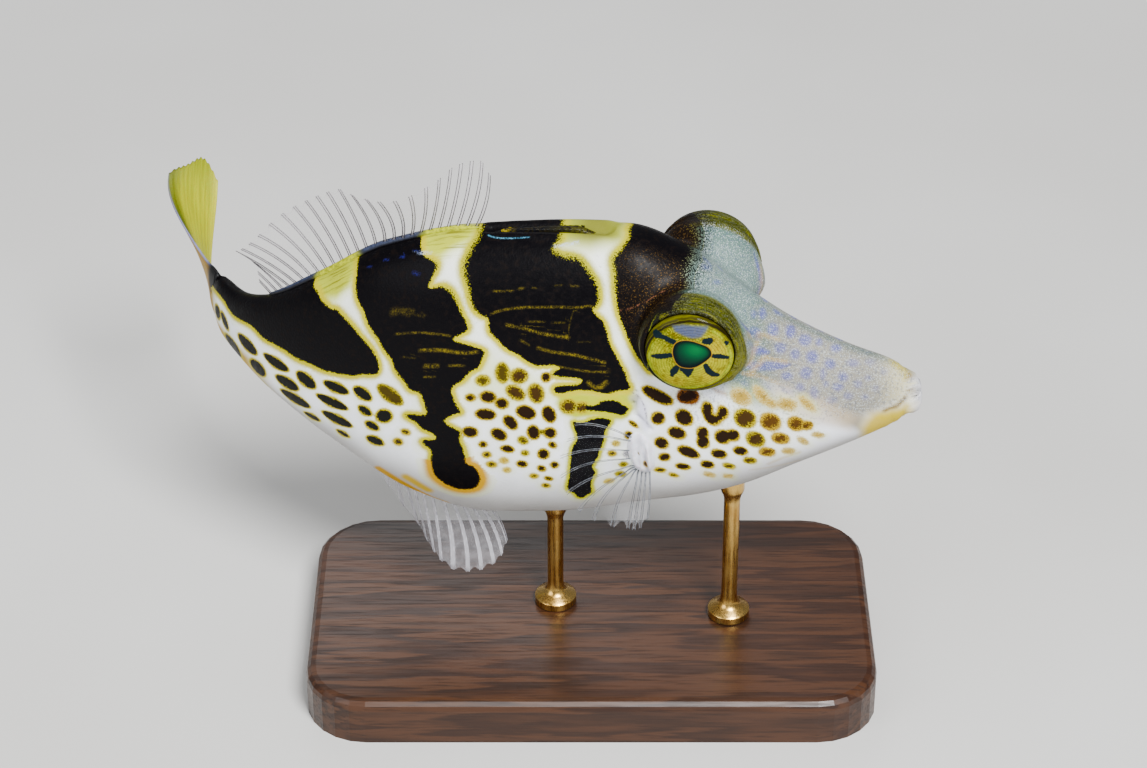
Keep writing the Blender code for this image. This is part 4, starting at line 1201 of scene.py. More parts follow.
def mottled(tree, colour, mottle):
    """A colour made darker and lighter by a mottle."""
    grey = node(tree, "ShaderNodeCombineColor", Red=mottle, Green=mottle, Blue=mottle).outputs[0]
    return blended(tree, 1.0, colour, grey, "MULTIPLY")


def coloured(tree, shader, colour):
    tree.links.new(colour, shader.inputs["Base Color"])


def roughened(tree, shader, roughness):
    tree.links.new(roughness, shader.inputs["Roughness"])


def ramp(tree, value, low, high, start=0, end=1):
    made = node(tree, "ShaderNodeMapRange", {"interpolation_type": "SMOOTHSTEP"}, Value=value, From_Min=low,
                From_Max=high, To_Min=start, To_Max=end)
    return made.outputs["Result"]


def attribute(tree, name, output="Vector"):
    return node(tree, "ShaderNodeAttribute", {"attribute_name": name}).outputs[output]


def parted(tree, vector):
    return node(tree, "ShaderNodeSeparateXYZ", Vector=vector).outputs


def noise(tree, size, detail=2, roughness=0.5, coordinates=None):
    """Noise with features of a size in millimetres."""
    if coordinates is None:
        coordinates = node(tree, "ShaderNodeTexCoord").outputs["Object"]
    made = node(tree, "ShaderNodeTexNoise", Vector=coordinates)
    made.inputs["Scale"].default_value = 1 / (size * MM)
    made.inputs["Detail"].default_value = detail
    made.inputs["Roughness"].default_value = roughness
    return made.outputs["Fac"]


def grains(tree, size, output="Distance"):
    coordinates = node(tree, "ShaderNodeTexCoord").outputs["Object"]
    made = node(tree, "ShaderNodeTexVoronoi", Vector=coordinates)
    made.inputs["Scale"].default_value = 1 / (size * MM)
    return made.outputs[output]


def bumped(tree, shader, height, depth, strength=1.0):
    """A bump of a depth in millimetres."""
    made = node(tree, "ShaderNodeBump", Height=height)
    made.inputs["Strength"].default_value = strength
    made.inputs["Distance"].default_value = depth * MM
    tree.links.new(made.outputs["Normal"], shader.inputs["Normal"])


def along_streaks(tree, vector, along, across, size=1.0):
    """Noise drawn out along the first of a vector's two directions."""
    scaled = node(tree, "ShaderNodeVectorMath", {"operation": "MULTIPLY"})
    feed(tree, scaled.inputs[0], vector)
    scaled.inputs[1].default_value = (along * MM, across * MM, 0.0)
    return noise(tree, size, 3, 0.6, scaled.outputs[0])


def skin_material():
    material, tree, shader = new_material("filefish_skin", 0.42, Specular_IOR_Level=0.045, Coat_Weight=0.015,
                                          Coat_Roughness=0.2)
    distance, rim_width, soft = parted(tree, attribute(tree, "marks"))
    head_grain, dust, lid_grain = parted(tree, attribute(tree, "grain"))
    streak_place = attribute(tree, "streaks")
    crest = parted(tree, streak_place)[2]
    fine, mid, broad = noise(tree, 0.15), noise(tree, 0.42, 3), noise(tree, 3.2, 3)
    coarse, dots = noise(tree, 0.2, 2), noise(tree, 0.1, 1)
    stipple = sums(tree, "SUBTRACT", dots, 0.5)
    ragged = sums(tree, "MULTIPLY_ADD", sums(tree, "SUBTRACT", fine, 0.5), 0.18, distance)
    speckled = sums(tree, "MULTIPLY_ADD", stipple, times(tree, soft, 6.0), ragged)

    # the ground, with the granules of the head, the streaks of the lids and crests, and a faint mottle
    grit = sums(tree, "MULTIPLY_ADD", stipple, 0.25, along_streaks(tree, attribute(tree, "lid"), 6.5, 0.7))
    drawn = ramp(tree, along_streaks(tree, streak_place, 0.3, 3.4), 0.50, 0.60)
    ground = coated(
        tree, mottled(tree, attribute(tree, "ground", "Color"), ramp(tree, broad, 0.3, 0.7, 0.93, 1.03)),
        (times(tree, ramp(tree, dots, 0.52, 0.66), times(tree, head_grain, 0.5)), SPECK_PALE),
        (times(tree, ramp(tree, coarse, 0.47, 0.36), times(tree, head_grain, 0.42)), SPECK_DARK),
        (times(tree, ramp(tree, grit, 0.52, 0.64), times(tree, lid_grain, 0.6)), LID_EDGE),
        (times(tree, ramp(tree, grit, 0.47, 0.36), times(tree, lid_grain, 0.65)), LID_PIT),
        (times(tree, drawn, times(tree, crest, 0.75)), STREAK_OLIVE),
    )

    # the rim round each mark, and then the mark itself
    spread = sums(tree, "DIVIDE", sums(tree, "MAXIMUM", ragged, 0.0), rim_width)
    ink = coated(
        tree, attribute(tree, "ink", "Color"),
        (ramp(tree, mid, 0.5, 0.7, 0, 0.35), SPECK_BROWN),
        (times(tree, dust, 0.6), SPECK_BROWN),
        (times(tree, ramp(tree, dots, 0.58, 0.72), dust), SPECK_GOLD),
    )
    colour = coated(
        tree, ground,
        (ramp(tree, spread, 0.8, 4.5, 0.24, 0), PALE_YELLOW),
        (ramp(tree, spread, 0.5, 1.8, 1, 0), attribute(tree, "rim", "Color")),
        (ramp(tree, sums(tree, "DIVIDE", speckled, soft), -1, 1, 1, 0), ink),
    )

    # the fine lines, broken by the grain of the skin
    signed, share, half = parted(tree, attribute(tree, "lines"))
    away = sums(tree, "DIVIDE", sums(tree, "ABSOLUTE", signed), half)
    gaps = times(tree, ramp(tree, dots, 0.38, 0.60, 0.08, 0.75), ramp(tree, mid, 0.36, 0.6, 0.3, 0.9))
    broken = times(tree, ramp(tree, away, 0.2, 2.4, 1, 0), times(tree, share, gaps), clamp=True)
    coloured(tree, shader, blended(tree, broken, colour, attribute(tree, "line_colour", "Color")))
    roughened(tree, shader, ramp(tree, mid, 0.3, 0.7, 0.36, 0.52))
    relief = sums(tree, "MULTIPLY_ADD", fine, 0.7, times(tree, grains(tree, 0.22), 0.5))
    bumped(tree, shader, relief, 0.035, 0.6)
    return material


def floor_material():
    material, tree, shader = new_material("pale_floor", 0.6)
    coloured(tree, shader, blended(tree, ramp(tree, noise(tree, 60, 3), 0.3, 0.7), *FLOOR_TONES))
    return material


def wear(piece, material):
    piece.data.materials.clear()
    piece.data.materials.append(material)


# Fins: station, ray length, degrees that a ray leans back, degrees that it leans to the left, and degrees
# by which it bends back by its tip
DORSAL_RAYS = 26
DORSAL_FIN = (
    (33.4, 5.1, -30, 0, 26), (34.4, 6.2, -25, 3, 18), (36, 6.1, -20, 0, 10), (37.5, 5.6, -22, -12, 14),
    (39.2, 5.5, -21, -25, 28), (40.2, 5.4, -20, -23, 40), (41.3, 5.5, -8, -14, 34), (42.4, 5.9, 10, -3, 14),
    (44.3, 5.9, 18, 2, 18), (46.1, 5.8, 34, 8, 20), (47.6, 5.6, 46, 6, 32), (49.4, 5.7, 62, 3, 16),
    (50.6, 3, 50, 1, 14), (51.8, 1.6, 50, 0, 10),
)
ANAL_RAYS = 23
ANAL_FIN = (
    (34.6, 4, -36, -6, 30), (35.8, 5.8, -33, -8, 28), (37, 6.8, -29, -10, 31),
    (38.2, 7.2, -22, -10, 28), (39.2, 6.8, -10, -8, 10), (40.2, 6.4, -8, -3, 4), (41.2, 6, -8, 8, 6),
    (42.4, 5.6, 2, 24, 8), (44, 5, 18, 46, 12), (46, 4.2, 36, 56, 14), (49, 3.2, 50, 58, 14),
    (51.6, 1.7, 56, 50, 10),
)
CAUDAL_RAYS = 12
CAUDAL_LENGTH = 16.3
CAUDAL_ROOT_WIDTH = 5.2
CAUDAL_TIP_WIDTH = 4.1
CAUDAL_TURN = 28.5
CAUDAL_RISE = ((0, 0), (0.12, 12), (1, 21.5))
CAUDAL_TWIST = (27.0, 77.0)
CAUDAL_ROUNDING = 0.12
CAUDAL_START = -0.09
CAUDAL_ROWS = 60
CAUDAL_HALF = 0.13
CAUDAL_ROOT_HALF = 0.62
CAUDAL_RIDGE = 0.035

# Pectoral rays from the top one down: station and height of the root, ray length, degrees that the ray
# points down from straight back, and degrees by which it bends down by its tip
PECTORAL_FIN = (
    (21.49, -1.03, 4.67, -52, 27), (21.52, -1.41, 5.01, -37, 28), (21.59, -2.36, 5.55, -26, 25),
    (21.77, -3.2, 5.57, -19, 29), (21.83, -4, 5.45, -3, 23), (21.82, -4.29, 5.38, 18, 19),
    (21.72, -4.52, 5.11, 24, 26), (21.57, -4.7, 4.81, 48, 18), (21.31, -4.86, 4.48, 75, 2),
    (20.99, -4.9, 4.54, 79, 0), (20.67, -4.91, 4.38, 82, -1), (20.35, -4.9, 3.5, 88, -4),
)
PECTORAL_RAYS = len(PECTORAL_FIN)
PECTORAL_LIFT = 0.5
PECTORAL_FLARE = 0.6
FIN_SUNK = 0.12
WEB_ROWS = 14
RAY_POINTS = 18
SHEATH_ENDS = (33.0, 52.2)
SHEATH_POINTS = 120
SHEATH_RADIUS = 0.3
SPINE_RADIUS = 0.4
BARBS_A_SIDE = 14

# Marks on the lobe of a pectoral fin: place, half length, half height and colour
LOBE_MARKS = (
    (-0.16, -0.42, 0.22, 0.2, srgb(170, 138, 10)), (-0.16, -0.42, 0.14, 0.13, srgb(50, 26, 8)),
    (0.16, 0.12, 0.07, 0.08, srgb(110, 98, 40)),
)

# How solid a fin's film and the core of a ray are, how far a ray's halves are apart, and their looks
DORSAL_LOOKS = {
    "web": 0.04, "core": 0.3, "apart": 0.24, "radius": 0.044,
    "dark": srgb(24, 20, 24), "pale": srgb(78, 70, 76), "film": srgb(204, 198, 202),
}
ANAL_LOOKS = {
    "web": 0.12, "core": 0.4, "apart": 0.26, "radius": 0.034,
    "dark": srgb(140, 138, 146), "pale": srgb(214, 212, 218), "film": srgb(214, 212, 218),
}


def median_sheet(rows_of_rays, upward):
    """The middle surface of a fin on the back (upward is 1) or under the belly (upward is -1)."""
    read = curve(rows_of_rays)
    start, end = rows_of_rays[0][0], rows_of_rays[-1][0]

    def place(column, reach):
        column, reach = np.broadcast_arrays(column, reach)
        station = start + (end - start) * column
        length, back_lean, left_lean, curl = np.moveaxis(read(station), -1, 0)
        back, belly = section_at(station)[:2]
        lean = np.radians(left_lean)
        root = point_at(station, 0.0, back - FIN_SUNK if upward > 0 else belly + FIN_SUNK)
        backward, leftward = directions_at(station)
        angle = np.radians(back_lean + curl * reach / 2)
        run, rise = length * reach * np.sin(angle), length * reach * np.cos(angle)
        return (root + backward * run[..., None] + UP * (upward * rise * np.cos(lean))[..., None]
                + leftward * (rise * np.sin(lean))[..., None])

    return place, end - start


def caudal_sheet():
    """The middle surface of the tail fin, on a line that turns, rises and twists."""
    steps = 80
    back, belly = section_at(np.array(STANDARD_LENGTH))[:2]
    read_rise = curve(CAUDAL_RISE)
    start_turn = math.radians(SPINE_TURN[-1][1])

    def heading(share):
        turn = start_turn + math.radians(CAUDAL_TURN) * share
        rise = np.radians(read_rise(share))
        return np.stack((-np.cos(turn) * np.cos(rise), np.sin(turn) * np.cos(rise), np.sin(rise)), -1)

    middles = heading((np.arange(steps) + 0.5) / steps) @ PLACED_TURN.T * (CAUDAL_LENGTH / steps)
    start = point_at(STANDARD_LENGTH + GAP, 0.0, (back + belly) / 2)
    line = np.vstack((start, start + np.cumsum(middles, axis=0)))

    def place(column, reach):
        column, reach = np.broadcast_arrays(column, reach)
        across = 0.5 - column
        share = reach * (1 - CAUDAL_ROUNDING * (2 * across) ** 2)
        centre = np.stack([np.interp(share, np.linspace(0, 1, steps + 1), line[:, k]) for k in range(3)], -1)
        before = np.minimum(share, 0) * CAUDAL_LENGTH
        ahead = heading(np.maximum(share, 0))
        centre = centre + (ahead @ PLACED_TURN.T) * before[..., None]
        level = np.stack((ahead[..., 1], -ahead[..., 0], np.zeros_like(share)), -1)
        level /= np.linalg.norm(level, axis=-1, keepdims=True)
        raised = np.cross(level, ahead)
        raised *= np.sign(raised[..., 2:3])
        share = np.maximum(share, 0)
        twist = np.radians(CAUDAL_TWIST[0] * share + CAUDAL_TWIST[1] * share * share)[..., None]
        width = CAUDAL_ROOT_WIDTH + (CAUDAL_TIP_WIDTH - CAUDAL_ROOT_WIDTH) * share
        edge = raised * np.cos(twist) - level * np.sin(twist)
        return centre + (edge @ PLACED_TURN.T) * (across * width)[..., None]

    return place


def pectoral_sheet(hand):
    """The middle surface of the fan of rays on one flank."""
    read = curve([(i / (PECTORAL_RAYS - 1), *row) for i, row in enumerate(PECTORAL_FIN)])

    def place(column, reach):
        column, reach = np.broadcast_arrays(column, reach)
        station, height, length, downward, curl = np.moveaxis(read(column), -1, 0)
        root, outward = flank_point(station, height, hand)
        angle = np.radians(downward + curl * reach)
        ray = directions_at(station)[0] * np.cos(angle)[..., None] - UP * np.sin(angle)[..., None]
        lift = 0.1 + PECTORAL_LIFT * (1 - np.exp(-6 * np.maximum(reach, 0))) + PECTORAL_FLARE * reach
        return root + outward * lift[..., None] + ray * (length * reach)[..., None]

    return place


def new_grid(name, columns, rows):
    nothing_selected()
    bpy.ops.mesh.primitive_grid_add(x_subdivisions=columns, y_subdivisions=rows, size=2.0)
    grid = bpy.context.object
    grid.name = name
    return grid


def grid_shares(grid):
    """How far along a fin's root and how far out each point of a flat grid is, and the level it is at."""
    flat = read_points(grid) * MM
    return (flat[:, 0] + 1) / 2, (flat[:, 1] + 1) / 2, flat[:, 2]


def sheet_normals(place, column, reach):
    """The directions square to the middle surface of a fin."""
    here = place(column, reach)
    normal = np.cross(place(column + 0.002, reach) - here, place(column, reach + 0.01) - here)
    return normal / np.linalg.norm(normal, axis=1, keepdims=True)


def make_web(name, place, rays, thickness, columns_a_ray, scallop, fold=0.0):
    """The membrane of a fin: a grid drawn out over its middle surface, thickened, with its edge scalloped."""
    web = new_grid(name, (rays - 1) * columns_a_ray, WEB_ROWS)
    column, reach, _ = grid_shares(web)
    between_rays = (1 - np.cos(column * (rays - 1) * 2 * math.pi)) / 2
    reach = (1 - scallop * between_rays) * reach
    points = place(column, reach)
    if fold:
        points = points + sheet_normals(place, column, reach) * (fold * between_rays * reach)[:, None]
    write_points(web, points)
    web_map = web.data.uv_layers.new(name="fin")
    loops = np.empty(len(web.data.loops), int)
    web.data.loops.foreach_get("vertex_index", loops)
    web_map.data.foreach_set("uv", np.stack((column, reach), 1)[loops].ravel())
    settled_at_origin(web)
    apply_modifier(web, "SOLIDIFY", thickness=thickness * MM, offset=0.0)
    bpy.ops.object.shade_smooth()
    return web


def make_rods(name, lines, radii, resolution=1):
    """Fine round rods along lines, each with a radius for every point."""
    drawn = bpy.data.curves.new(name, "CURVE")
    drawn.dimensions = "3D"
    drawn.bevel_depth = MM
    drawn.bevel_resolution = resolution
    drawn.use_fill_caps = True
    for line, widths in zip(lines, radii):
        spline = drawn.splines.new("POLY")
        spline.points.add(len(line) - 1)
        spline.points.foreach_set("co", np.concatenate((line * MM, np.ones((len(line), 1))), 1).ravel())
        spline.points.foreach_set("radius", np.asarray(widths, float))
    picked(new_object(name, drawn))
    bpy.ops.object.convert(target="MESH")
    rods = bpy.context.object
    bpy.ops.object.shade_smooth()
    return rods


def ray_pairs(place, rays, spacing, radius, tip_radius, start=0.0):
    """Each ray of a fin is two fine halves side by side. spacing is their distance apart at root and tip."""
    lines, radii = [], []
    reach = np.linspace(start, 1.0, RAY_POINTS)
    apart = spacing[0] + (spacing[1] - spacing[0]) * reach.clip(0)
    for i in range(rays):
        column = i / (rays - 1)
        across = place(min(column + 0.004, 1.0), reach) - place(max(column - 0.004, 0.0), reach)
        across /= np.linalg.norm(across, axis=1, keepdims=True)
        for half in (-0.5, 0.5):
            lines.append(place(column, reach) + across * (half * apart)[:, None])
            radii.append(radius + (tip_radius - radius) * reach.clip(0))
    return lines, radii


def web_material(name, rays, web_alpha, core_alpha, core_share, colour, low_alpha=None):
    """A clear membrane, paler and less clear between the two halves of each ray and along its edge."""
    material, tree, shader = new_material(name, 0.35, Specular_IOR_Level=0.25)
    column, reach, _ = parted(tree, node(tree, "ShaderNodeUVMap", {"uv_map": "fin"}).outputs["UV"])
    phase = sums(tree, "FRACT", sums(tree, "MULTIPLY_ADD", column, rays - 1.0, 0.5))
    off = sums(tree, "ABSOLUTE", sums(tree, "SUBTRACT", phase, 0.5))
    core = ramp(tree, off, core_share * 0.6, core_share * 1.2, 1, 0)
    mottle = ramp(tree, noise(tree, 0.7, 3), 0.35, 0.65, 0.6, 1)
    clear = web_alpha
    if low_alpha is not None:
        lower = times(tree, ramp(tree, column, 0.55, 0.75), ramp(tree, reach, 0.2, 0.8))
        clear = sums(tree, "MULTIPLY_ADD", lower, low_alpha - web_alpha, web_alpha)
    edge = times(tree, ramp(tree, reach, 0.93, 0.99), 0.12)
    clear = sums(tree, "ADD", times(tree, clear, mottle), edge)
    alpha = sums(tree, "MULTIPLY_ADD", core, sums(tree, "SUBTRACT", core_alpha, clear), clear, clamp=True)
    tree.links.new(alpha, shader.inputs["Alpha"])
    coloured(tree, shader, blended(tree, mottle, tuple(part * 0.8 for part in colour), colour))
    bumped(tree, shader, noise(tree, 0.15), 0.01, 0.5)
    return material


def ray_material(name, dark, pale):
    """Jointed fin rays: dark, with paler joints along them."""
    material, tree, shader = new_material(name, 0.3, Coat_Weight=0.25)
    coloured(tree, shader, blended(tree, ramp(tree, noise(tree, 0.3, 2), 0.42, 0.66), dark, pale))
    bumped(tree, shader, noise(tree, 0.2), 0.01, 0.5)
    return material


def make_sheath():
    """The low fleshy ridge that the dorsal rays grow out of, yellow over the white bars."""
    station = np.linspace(*SHEATH_ENDS, SHEATH_POINTS)
    line = point_at(station, 0.0, section_at(station)[0] + 0.02)
    swell = np.sin(np.linspace(0, math.pi, SHEATH_POINTS)) ** 0.25
    sheath = make_rods("dorsal_fin_sheath", [line], [SHEATH_RADIUS * swell], 4)
    station, _, height = fish_place(read_points(sheath))
    count = len(station)
    places = np.stack((station, np.full(count, 0.4)), 1)
    dark = np.full(count, FAR)
    for outline in (SADDLE_MIDDLE, SADDLE_REAR, SADDLE_TAIL):
        dark = np.minimum(dark, distance_to_shape(places, rounded_off(over_back(outline), True)))
    dark = 1 - eased(dark, -0.5, 0.5)
    # painted highlight: the sheath's top is blue-grey where it is dark
    top = eased(height - section_at(station)[0], 0.08, 0.26)
    write_colour(sheath, "tint", tinted(all_over(BRIGHT_YELLOW, count), (dark, SHEATH_DARK),
                                        (top * dark * 0.8, SHEATH_TOP_HIGHLIGHT)))
    material, tree, shader = new_material("fin_sheath", 0.4, Specular_IOR_Level=0.2)
    mottle = ramp(tree, noise(tree, 0.3, 3), 0.35, 0.65, 0.6, 1.1)
    coloured(tree, shader, mottled(tree, attribute(tree, "tint", "Color"), mottle))
    bumped(tree, shader, noise(tree, 0.2, 3), 0.03, 0.5)
    wear(sheath, material)
    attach(sheath, "root")
    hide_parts("dorsal_fin")


def make_median_fin(node_name, rows_of_rays, rays, upward, looks):
    place, base_length = median_sheet(rows_of_rays, upward)
    web = make_web(node_name + "_web", place, rays, 0.05, columns_a_ray=8, scallop=0.05)
    apart, radius = looks["apart"], looks["radius"]
    core_share = apart / 2 / (base_length / (rays - 1))
    film = web_material(node_name + "_membrane", rays, looks["web"], looks["core"], core_share, looks["film"])
    wear(web, film)
    lines, radii = ray_pairs(place, rays, (apart * 0.8, apart), radius, radius * 0.7)
    rods = make_rods(node_name + "_rays", lines, radii)
    wear(rods, ray_material(node_name + "_ray", looks["dark"], looks["pale"]))
    for piece in (web, rods):
        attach(piece, "root")
        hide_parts(node_name)


def make_lobe(node_name, hand):
    """The fleshy lobe that the pectoral rays grow from, with a fold round its front edge."""
    lobe = new_ball(node_name + "_lobe", 64, 40)
    x, y, z = read_points(lobe).T
    skin_place, outward = flank_point(20.86 + 1.05 * x + 0.24 * y, -2.75 + 2.1 * y, hand)
    front = bump(x + 0.18 * y, -0.55, 0.2) * bump(y, -0.1, 0.8)
    thick = 0.34 + 0.4 * front + 0.05 * np.cos(x * 11 + y * 3) + 0.1 * bump(np.hypot(x, y), 0.75, 0.2)
    write_points(lobe, skin_place + outward * (z * thick)[:, None])
    turned_outward(lobe)
    bpy.ops.object.shade_smooth()
    shade = (1 - eased(front, 0.1, 0.6)) * bump(x, -0.2, 0.16) * 0.4
    tint = tinted(all_over(LOBE_WHITE, len(x)), (shade, LOBE_SHADE))
    for mark_x, mark_y, across, up, colour in LOBE_MARKS:
        mark = np.hypot((x - mark_x) / across, (y - mark_y) / up)
        tint = tinted(tint, ((1 - eased(mark, 0.7, 1.1)) * (z > 0), colour))
    write_colour(lobe, "tint", tint)
    material, tree, shader = new_material(node_name + "_flesh", 0.35, Specular_IOR_Level=0.3, Coat_Weight=0.2,
                                          Subsurface_Weight=0.15, Subsurface_Scale=0.0005)
    mottle = ramp(tree, noise(tree, 0.6, 3), 0.35, 0.65, 0.86, 1.04)
    coloured(tree, shader, mottled(tree, attribute(tree, "tint", "Color"), mottle))
    bumped(tree, shader, noise(tree, 0.3, 3), 0.05, 0.5)
    wear(lobe, material)
    return lobe


def make_pectoral_fin(node_name, hand):
    place = pectoral_sheet(hand)
    web = make_web(node_name + "_web", place, PECTORAL_RAYS, 0.03, columns_a_ray=6, scallop=0.14, fold=0.05)
    film = web_material(node_name + "_membrane", PECTORAL_RAYS, 0.003, 0.02, 0.08, PECTORAL_FILM, 0.12)
    wear(web, film)
    lines, radii = ray_pairs(place, PECTORAL_RAYS, (0.06, 0.24), 0.026, 0.018, start=-0.06)
    rods = make_rods(node_name + "_rays", lines, radii)
    wear(rods, ray_material(node_name + "_ray", *PECTORAL_RAY_TONES))
    for piece in (web, rods, make_lobe(node_name, hand)):
        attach(piece, "root")
        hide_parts(node_name)


def tail_fin_colours(fin, column, reach, left_face):
    """Yellow, olive toward the tip, with a dark band along the upper edge of the left face."""
    outer = eased(reach, 0.5, 1)
    band = (1 - eased(column, 0.07, 0.3)) * left_face * (1 - 0.45 * outer)
    dark_root = 1 - eased(reach + 0.22 * eased(column, 0, 0.8), 0, 0.14)
    dark_root = dark_root * (1 - eased(column, 0.55, 0.75))
    write_colour(fin, "tint", tinted(
        np.where(left_face[:, None], np.array(TAIL_FIN_LEFT), np.array(TAIL_FIN_RIGHT)),
        (eased(reach, 0.66, 1) * 0.6, TAIL_FIN_TIP),
        (band * 0.9, TAIL_FIN_BAND),
        (bump(column, 0, 0.022) * (1 - 0.6 * outer), TAIL_FIN_EDGE),
        (bump(column, 0.98, 0.1) * left_face * 0.5, TAIL_FIN_LIGHT),
        (dark_root, TAIL_FIN_ROOT),
    ))


def make_caudal_fin():
    place = caudal_sheet()
    fin = new_grid("caudal_fin_blade", (CAUDAL_RAYS - 1) * 8, CAUDAL_ROWS)
    settled_at_origin(fin)
    bpy.ops.object.mode_set(mode="EDIT")
    bpy.ops.mesh.select_all(action="SELECT")
    bpy.ops.mesh.extrude_region_move(TRANSFORM_OT_translate={"value": (0, 0, 1.0)})
    bpy.ops.object.mode_set(mode="OBJECT")
    column, reach, level = grid_shares(fin)
    face = np.where(level > 0.5, 1.0, -1.0)
    ray = (1 + np.cos(column * (CAUDAL_RAYS - 1) * 2 * math.pi)) / 2
    edge = 1 - 0.012 * (1 - ray) - 0.02 * (1 - np.cos(column * 9))
    reach = CAUDAL_START + (edge - CAUDAL_START) * reach
    normal = sheet_normals(place, column, reach)

    # thick and round where it leaves the tail, thin at its tip and edges, with a ridge along each ray
    root = np.clip(1 - reach / 0.2, 0, 1) ** 2
    rim = np.clip(np.minimum(column, 1 - column) * 14, 0.25, 1) ** 0.5
    round_rim = np.sqrt(np.clip(1 - (2 * column - 1) ** 2, 0.04, 1))
    taper = 1 - 0.6 * reach
    half = CAUDAL_HALF * taper * (1 - root) + CAUDAL_ROOT_HALF * root * round_rim
    half = half * (rim * (1 - root) + root)
    half = half + CAUDAL_RIDGE * ray ** 2 * np.minimum(reach.clip(0) / 0.2, 1) * taper * (1 - root)
    write_points(fin, place(column, reach) + normal * (face * half)[:, None])
    turned_outward(fin)
    bpy.ops.object.shade_smooth()

    tail_fin_colours(fin, column, reach, normal[:1] @ directions_at(STANDARD_LENGTH)[1] * face > 0)
    write_vector(fin, "fin_place", column * (CAUDAL_RAYS - 1), reach * 10, face)
    material, tree, shader = new_material("yellow_tail_fin", 0.45, Specular_IOR_Level=0.15,
                                          Subsurface_Weight=0.1, Subsurface_Scale=0.0004)
    streaks = along_streaks(tree, attribute(tree, "fin_place"), 2.2, 0.35)
    mottle = ramp(tree, streaks, 0.36, 0.64, 0.84, 1.06)
    coloured(tree, shader, mottled(tree, attribute(tree, "tint", "Color"), mottle))
    bumped(tree, shader, noise(tree, 0.16), 0.02, 0.5)
    wear(fin, material)
    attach(fin, "root")
    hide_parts("caudal_fin")


# Eyes, by points of the photograph on the plane of the near iris
IRIS_MIDDLE = (690.3, 356.2)
IRIS_HALF = (43.0, 32.4)
PIXELS_A_MM = 9.4
SKY_REFLECTION_PATCH = ((673, 326), (683, 325), (708, 326.5), (706, 331), (701, 337), (692, 338), (683, 335), (675, 331))
PUPIL = (
    (672.6, 350.5), (674, 345.5), (676.7, 342.7), (681, 341), (687, 340.6), (693, 341.6), (699, 343.6),
    (704, 345.4), (707.7, 347), (710.6, 350), (711.6, 353), (711.2, 356), (709.4, 358.2), (706, 361),
    (702.5, 363.4), (699, 365.4), (696.5, 366.8), (692.6, 367.8), (688.7, 368.1), (684, 367.6),
    (680, 366.4), (676.6, 363.6), (675, 360.8), (673, 355.6),
)
# Dark bars of the iris: points, and the half width in pixels at each
IRIS_BARS = (
    (((656.9, 334.1), 3), ((662, 336.4), 1.7), ((668, 339.4), 2), ((673.2, 341.8), 2.2)),
    (((651.7, 356), 1), ((658, 356.4), 2.2), ((665, 355.8), 2.2), ((671, 355.2), 1.8)),
    (((672, 375.4), 1.4), ((673.6, 371.6), 2.6), ((676.7, 367.7), 2.2)),
    (((688, 376.3), 1), ((687.6, 373), 2.8), ((687, 370), 5.2)),
    (((705.5, 365.5), 1.8), ((708.5, 371), 2.5), ((713, 374.2), 2.4), ((718, 375), 1.6)),
    (((713.3, 356), 1.7), ((720, 356.4), 2.1), ((728, 357.4), 1.2)),
    (((703, 342.2), 1), ((706, 341.4), 2.4), ((709.4, 341), 2.6), ((709.2, 344), 1)),
    (((725.6, 342), 1.2), ((727, 343.4), 1.4)),
)
EYE_BACK = 2.4
EYE_BULGE = 0.95
IRIS_YELLOW = srgb(134, 138, 0)
IRIS_OLIVE = srgb(64, 64, 2)
IRIS_ORANGE = srgb(164, 140, 0)
IRIS_EDGE = srgb(128, 152, 12)
IRIS_PAINTED_REFLECTION = srgb(60, 70, 108)
IRIS_INK = srgb(6, 22, 28)
IRIS_FLECK = srgb(174, 170, 0)
IRIS_RUST = srgb(86, 64, 0)
PUPIL_DARK = srgb(0, 8, 12)
PUPIL_TEAL = srgb(0, 30, 24)
PUPIL_PAINTED_GLOW = srgb(0, 88, 44)
PUPIL_RING = srgb(150, 108, 10)


def on_iris(pixels):
    """Forward and upward of the axis of the near eye, for points of the photograph on its dome."""
    start, ray = photo_ray(pixels)
    outward = EYE_OUTWARD[-1]
    rise = np.full(len(start) if start.ndim > 1 else 1, EYE_BULGE)
    for _ in range(6):
        plane = EYE_CENTRES[-1] + outward * (CUP_LEVEL + rise[:, None])
        along = ((plane - start) @ outward) / (ray @ outward)
        away = start + ray * along[..., None] - plane
        disc = np.stack((-(away @ EYE_REARWARD), away @ UP), -1)
        rise = EYE_BULGE * np.sqrt(np.clip(1 - (disc ** 2).sum(-1) / EYE_RADIUS ** 2, 0, 1))
    return disc


